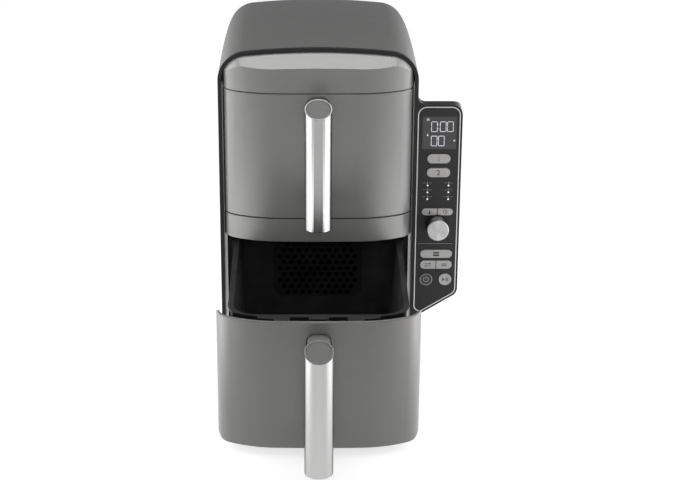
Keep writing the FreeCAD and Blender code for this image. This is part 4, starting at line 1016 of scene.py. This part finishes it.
@dataclass
class ControlPanel:
    """The panel on the wing: window, lamps, keys, dial and their printed signs.

    Attributes:
        print_depth: Thickness of printed signs.
        print_proud: How far a sign stands off its key.
        digit_height: Height of the display's digits.
        digit_width: Width of the display's digits.
        stroke: Width of a digit's stroke.
        bar_gap: The gap at a stroke's end, as a share of its width.
        digit_pitch: Distance between neighbouring digits.
        colon_room: Extra room that the colon takes.
        colon_rise: How far the colon's dots are from its middle.
        line_start: The first digit's middle from the window's.
        line_pitch: Distance between the display's two lines.
        line_offset: Height of the upper line over the window's middle.
        numeral: Height of the numerals on the zone keys.
        label: Height of the numbers over the lamps.
        label_lift: Height of those numbers over their lamps.
        tick: Length of the tick at each side of such a number.
        tick_reach: Distance of a tick's middle from the number's.
        hairline: Width of the ticks and of the rule under the dial.
        rule: Length of the rule under the dial.
        rule_spot: The rule's middle from the dial's, in x and z.
        clock_spot: The small clock's middle from the window's, in x and z.
        heat_spot: The small thermometer's middle from the window's.
        degree_spot: The small ring's middle from the window's.
        small: The size of the display's signs against those on the keys.
        signs: The signs' outlines.
        font_scale: The font's size against a numeral's height.
        font_weight: How far a numeral's outline is pushed out, as a share of its height.
        lamp_radius: A lamp's radius.
        lamp_steps: The heights of a column's lamps, as shares of the column.
    """

    print_depth: float = 0.1 * MM
    print_proud: float = 0.06 * MM
    digit_height: float = 12.4 * MM
    digit_width: float = 7.2 * MM
    stroke: float = 0.62 * MM
    bar_gap: float = 0.3
    digit_pitch: float = 8.3 * MM
    colon_room: float = 1.6 * MM
    colon_rise: float = 2.48 * MM
    line_start: float = -6.0 * MM
    line_pitch: float = 17.2 * MM
    line_offset: float = 7.6 * MM
    numeral: float = 6.4 * MM
    label: float = 3.0 * MM
    label_lift: float = 3.1 * MM
    tick: float = 3.4 * MM
    tick_reach: float = 3.5 * MM
    hairline: float = 0.45 * MM
    rule: float = 40.0 * MM
    rule_spot: Point = (-1.4 * MM, -23.2 * MM)
    clock_spot: Point = (-13.6 * MM, 16.0 * MM)
    heat_spot: Point = (-13.6 * MM, -2.0 * MM)
    degree_spot: Point = (17.0 * MM, -9.2 * MM)
    small: float = 0.6
    signs: Signs = Signs()
    font_scale: float = 1.38
    font_weight: float = 0.012
    lamp_radius: float = 0.9 * MM
    lamp_steps: tuple[float, ...] = (1.0, 0.5, 0.0)

    def build(self) -> None:
        """Dresses the panel and prints its signs."""
        centre = middle("dial_knob")
        spun = SpunFinish(
            "spun_metal", (0.38, 0.38, 0.38), 0.3, metallic=1.0, gloss_spread=0.05, grain_height=3e-6,
            edge=0.25 * MM, centre=(centre.x, centre.z),
        )
        dress({
            "panel_face": PANEL_FILM,
            "panel_trim": SILVER_TRIM,
            "display_window": DISPLAY_GLASS,
            "indicator_lamps": LAMP_WHITE,
            "control_board": SOLDER_MASK,
            "dial_knob": spun,
            "dial_stem": BLACK_PLASTIC,
        })
        self.light_display()
        self.print_keys()
        self.print_lamp_numbers()

    def segment(self, letter: str, x: float, z: float) -> Loop:
        """Gives one bar of a digit.

        Args:
            letter: Which bar, a to f, clockwise from the top.
            x: The digit's middle x.
            z: The digit's middle z.

        Returns:
            The bar's outline, pointed at both ends.
        """
        half = self.stroke / 2.0
        side = self.digit_width / 2.0 - half
        tall = self.digit_height / 2.0 - half
        gap = self.stroke * self.bar_gap
        flat = {"a": tall, "d": -tall}
        if letter in flat:
            low, high, level = x - side + gap, x + side - gap, z + flat[letter]
            return [
                (low, level), (low + half, level - half), (high - half, level - half),
                (high, level), (high - half, level + half), (low + half, level + half),
            ]
        column = x + (side if letter in "bc" else -side)
        base = z if letter in "bf" else z - tall
        low, high = base + gap, base + tall - gap
        return [
            (column, low), (column + half, low + half), (column + half, high - half),
            (column, high), (column - half, high - half), (column - half, low + half),
        ]

    def light_display(self) -> None:
        """Lights the display's two lines of zeros and its small signs."""
        centre = middle("display_window")
        upper = centre.z + self.line_offset
        lower = upper - self.line_pitch
        start = centre.x + self.line_start
        colon = start + self.digit_pitch / 2.0 + self.colon_room / 2.0
        second = start + self.digit_pitch + self.colon_room
        places = [(start, upper), (second, upper), (second + self.digit_pitch, upper)]
        places += [(start, lower), (start + self.digit_pitch, lower)]
        loops = [self.segment(letter, x, z) for x, z in places for letter in ZERO_BARS]
        for rise in (-self.colon_rise, self.colon_rise):
            loops.append(bar(colon, upper + rise, self.stroke, self.stroke))
        spots = {
            Icon.CLOCK: self.clock_spot,
            Icon.THERMOMETER: self.heat_spot,
            Icon.DEGREE: self.degree_spot,
        }
        for icon, (across, up) in spots.items():
            loops += self.signs.draw(icon, centre.x + across, centre.z + up, self.small)
        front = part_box("display_window")[0].y - self.print_proud
        mesh = raised("display_digits", loops, front, self.print_depth)
        link("display_digits", mesh, DIGIT_WHITE, HOUSING_BODY)

    def print_keys(self) -> None:
        """Dresses each key and prints its sign."""
        signs = {
            "temperature_button": (Icon.THERMOMETER, PRINT_DARK),
            "time_button": (Icon.CLOCK, PRINT_DARK),
            "both_zones_button": (Icon.STACK, PRINT_DARK),
            "sync_button": (Icon.ARROWS, PRINT_DARK),
            "match_button": (Icon.EQUALS, PRINT_DARK),
            "start_button": (Icon.START, PRINT_DARK),
            "power_button": (Icon.POWER, PRINT_PALE),
        }
        keys = dict.fromkeys(("zone_one_button", "zone_two_button", *signs), KEY_GREY)
        keys["power_button"] = KEY_BLACK
        dress(keys)
        self.print_number("zone_one_button", "1", PRINT_FAINT)
        self.print_number("zone_two_button", "2", PRINT_DARK)
        for node, (icon, finish) in signs.items():
            low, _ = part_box(node)
            spot = middle(node)
            loops = self.signs.draw(icon, spot.x, spot.z)
            mesh = raised(node + "_sign", loops, low.y - self.print_proud, self.print_depth)
            link(node + "_sign", mesh, finish, node + "_key")

    def number_mesh(self, name: str, text: str, height: float, spot: Vector, front: float) -> bpy.types.Mesh:
        """Makes a numeral as a thin mesh that faces -y.

        Args:
            name: The mesh's name.
            text: The numeral.
            height: Its height.
            spot: Its middle.
            front: The y of its face.

        Returns:
            The mesh.
        """
        letter = bpy.data.curves.new(name, "FONT")
        letter.body = text
        letter.size = height * self.font_scale
        letter.extrude = self.print_depth / 2.0
        letter.offset = height * self.font_weight
        holder = bpy.data.objects.new(name, letter)
        bpy.context.scene.collection.objects.link(holder)
        bpy.context.view_layer.update()
        mesh = bpy.data.meshes.new_from_object(holder.evaluated_get(bpy.context.evaluated_depsgraph_get()))
        bpy.data.objects.remove(holder)
        mesh.name = name
        across = [vertex.co.x for vertex in mesh.vertices]
        upright = [vertex.co.y for vertex in mesh.vertices]
        shift_x = (min(across) + max(across)) / 2.0
        shift_y = (min(upright) + max(upright)) / 2.0
        for vertex in mesh.vertices:
            flat = vertex.co.copy()
            vertex.co = (
                spot.x + flat.x - shift_x,
                front + self.print_depth / 2.0 - flat.z,
                spot.z + flat.y - shift_y,
            )
        return mesh

    def print_number(self, node: str, text: str, finish: Finish) -> None:
        """Prints a numeral on a zone key.

        Args:
            node: The key's node.
            text: The numeral.
            finish: The print's finish.
        """
        low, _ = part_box(node)
        name = node + "_numeral"
        mesh = self.number_mesh(name, text, self.numeral, middle(node), low.y - self.print_proud)
        link(name, mesh, finish, node + "_key")

    def print_lamp_numbers(self) -> None:
        """Prints a small number between ticks over each lamp, and a rule under the dial."""
        low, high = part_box("indicator_lamps")
        face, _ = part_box("panel_face")
        front = face.y - self.print_proud
        radius = self.lamp_radius
        number = 0
        ticks = []
        for x in (low.x + radius, high.x - radius):
            for step in self.lamp_steps:
                number += 1
                z = low.z + radius + step * (high.z - low.z - 2.0 * radius)
                spot = Vector((x, 0.0, z + self.label_lift))
                name = "lamp_number_%d" % number
                mesh = self.number_mesh(name, str(number), self.label, spot, front)
                link(name, mesh, PRINT_PALE, HOUSING_BODY)
                for reach in (-self.tick_reach, self.tick_reach):
                    ticks.append(bar(x + reach, spot.z, self.tick, self.hairline))
        dial = middle("dial_knob")
        ticks.append(bar(dial.x + self.rule_spot[0], dial.z + self.rule_spot[1], self.rule, self.hairline))
        mesh = raised("panel_rules", ticks, front, self.print_depth)
        link("panel_rules", mesh, PRINT_FAINT, HOUSING_BODY)


@dataclass
class Drawer:
    """One pull-out drawer with its handle, basket and crisper plate.

    Attributes:
        zone: Which zone it serves.
        sleeve: The finish of its handle's sleeve.
    """

    zone: Zone
    sleeve: Finish

    def build(self) -> None:
        """Dresses the drawer's nodes."""
        finishes = {
            "drawer_front": GREY_PAINT,
            "drawer_bracket": BRACKET_BLACK,
            "handle_core": CAP_GREY,
            "handle_sleeve": self.sleeve,
            "handle_screws": STEEL,
            "basket": NONSTICK,
            "basket_screen": SCREEN_COAT,
            "crisper_plate": NONSTICK,
            "crisper_bumpers": SILICONE,
        }
        dress(finishes, self.zone.value)


@dataclass
class Chamber:
    """One cooking chamber with its runners, grille, heater and fan.

    Attributes:
        zone: Which zone it is.
    """

    zone: Zone

    def build(self) -> None:
        """Dresses the chamber's nodes."""
        finishes = {
            "liner": CHAMBER_COAT,
            "rails": CHAMBER_COAT,
            "rear_grille": CHAMBER_COAT,
            "heater": STEEL,
            "fan": STEEL,
            "fan_shaft": STEEL,
            "motor": MOTOR_CAN,
        }
        dress(finishes, self.zone.value)


def main() -> None:
    """Builds the scene, piece by piece."""
    logging.basicConfig(level=logging.INFO, format="%(message)s")
    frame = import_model()
    LOG.info("loaded %d nodes", len(frame["nodes"]))
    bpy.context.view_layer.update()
    Studio().build()
    Housing().build()
    ControlPanel().build()
    Drawer(Zone.UPPER, CHROME).build()
    Drawer(Zone.LOWER, SATIN_CHROME).build()
    for zone in Zone:
        Chamber(zone).build()


if __name__ == "__main__":
    main()
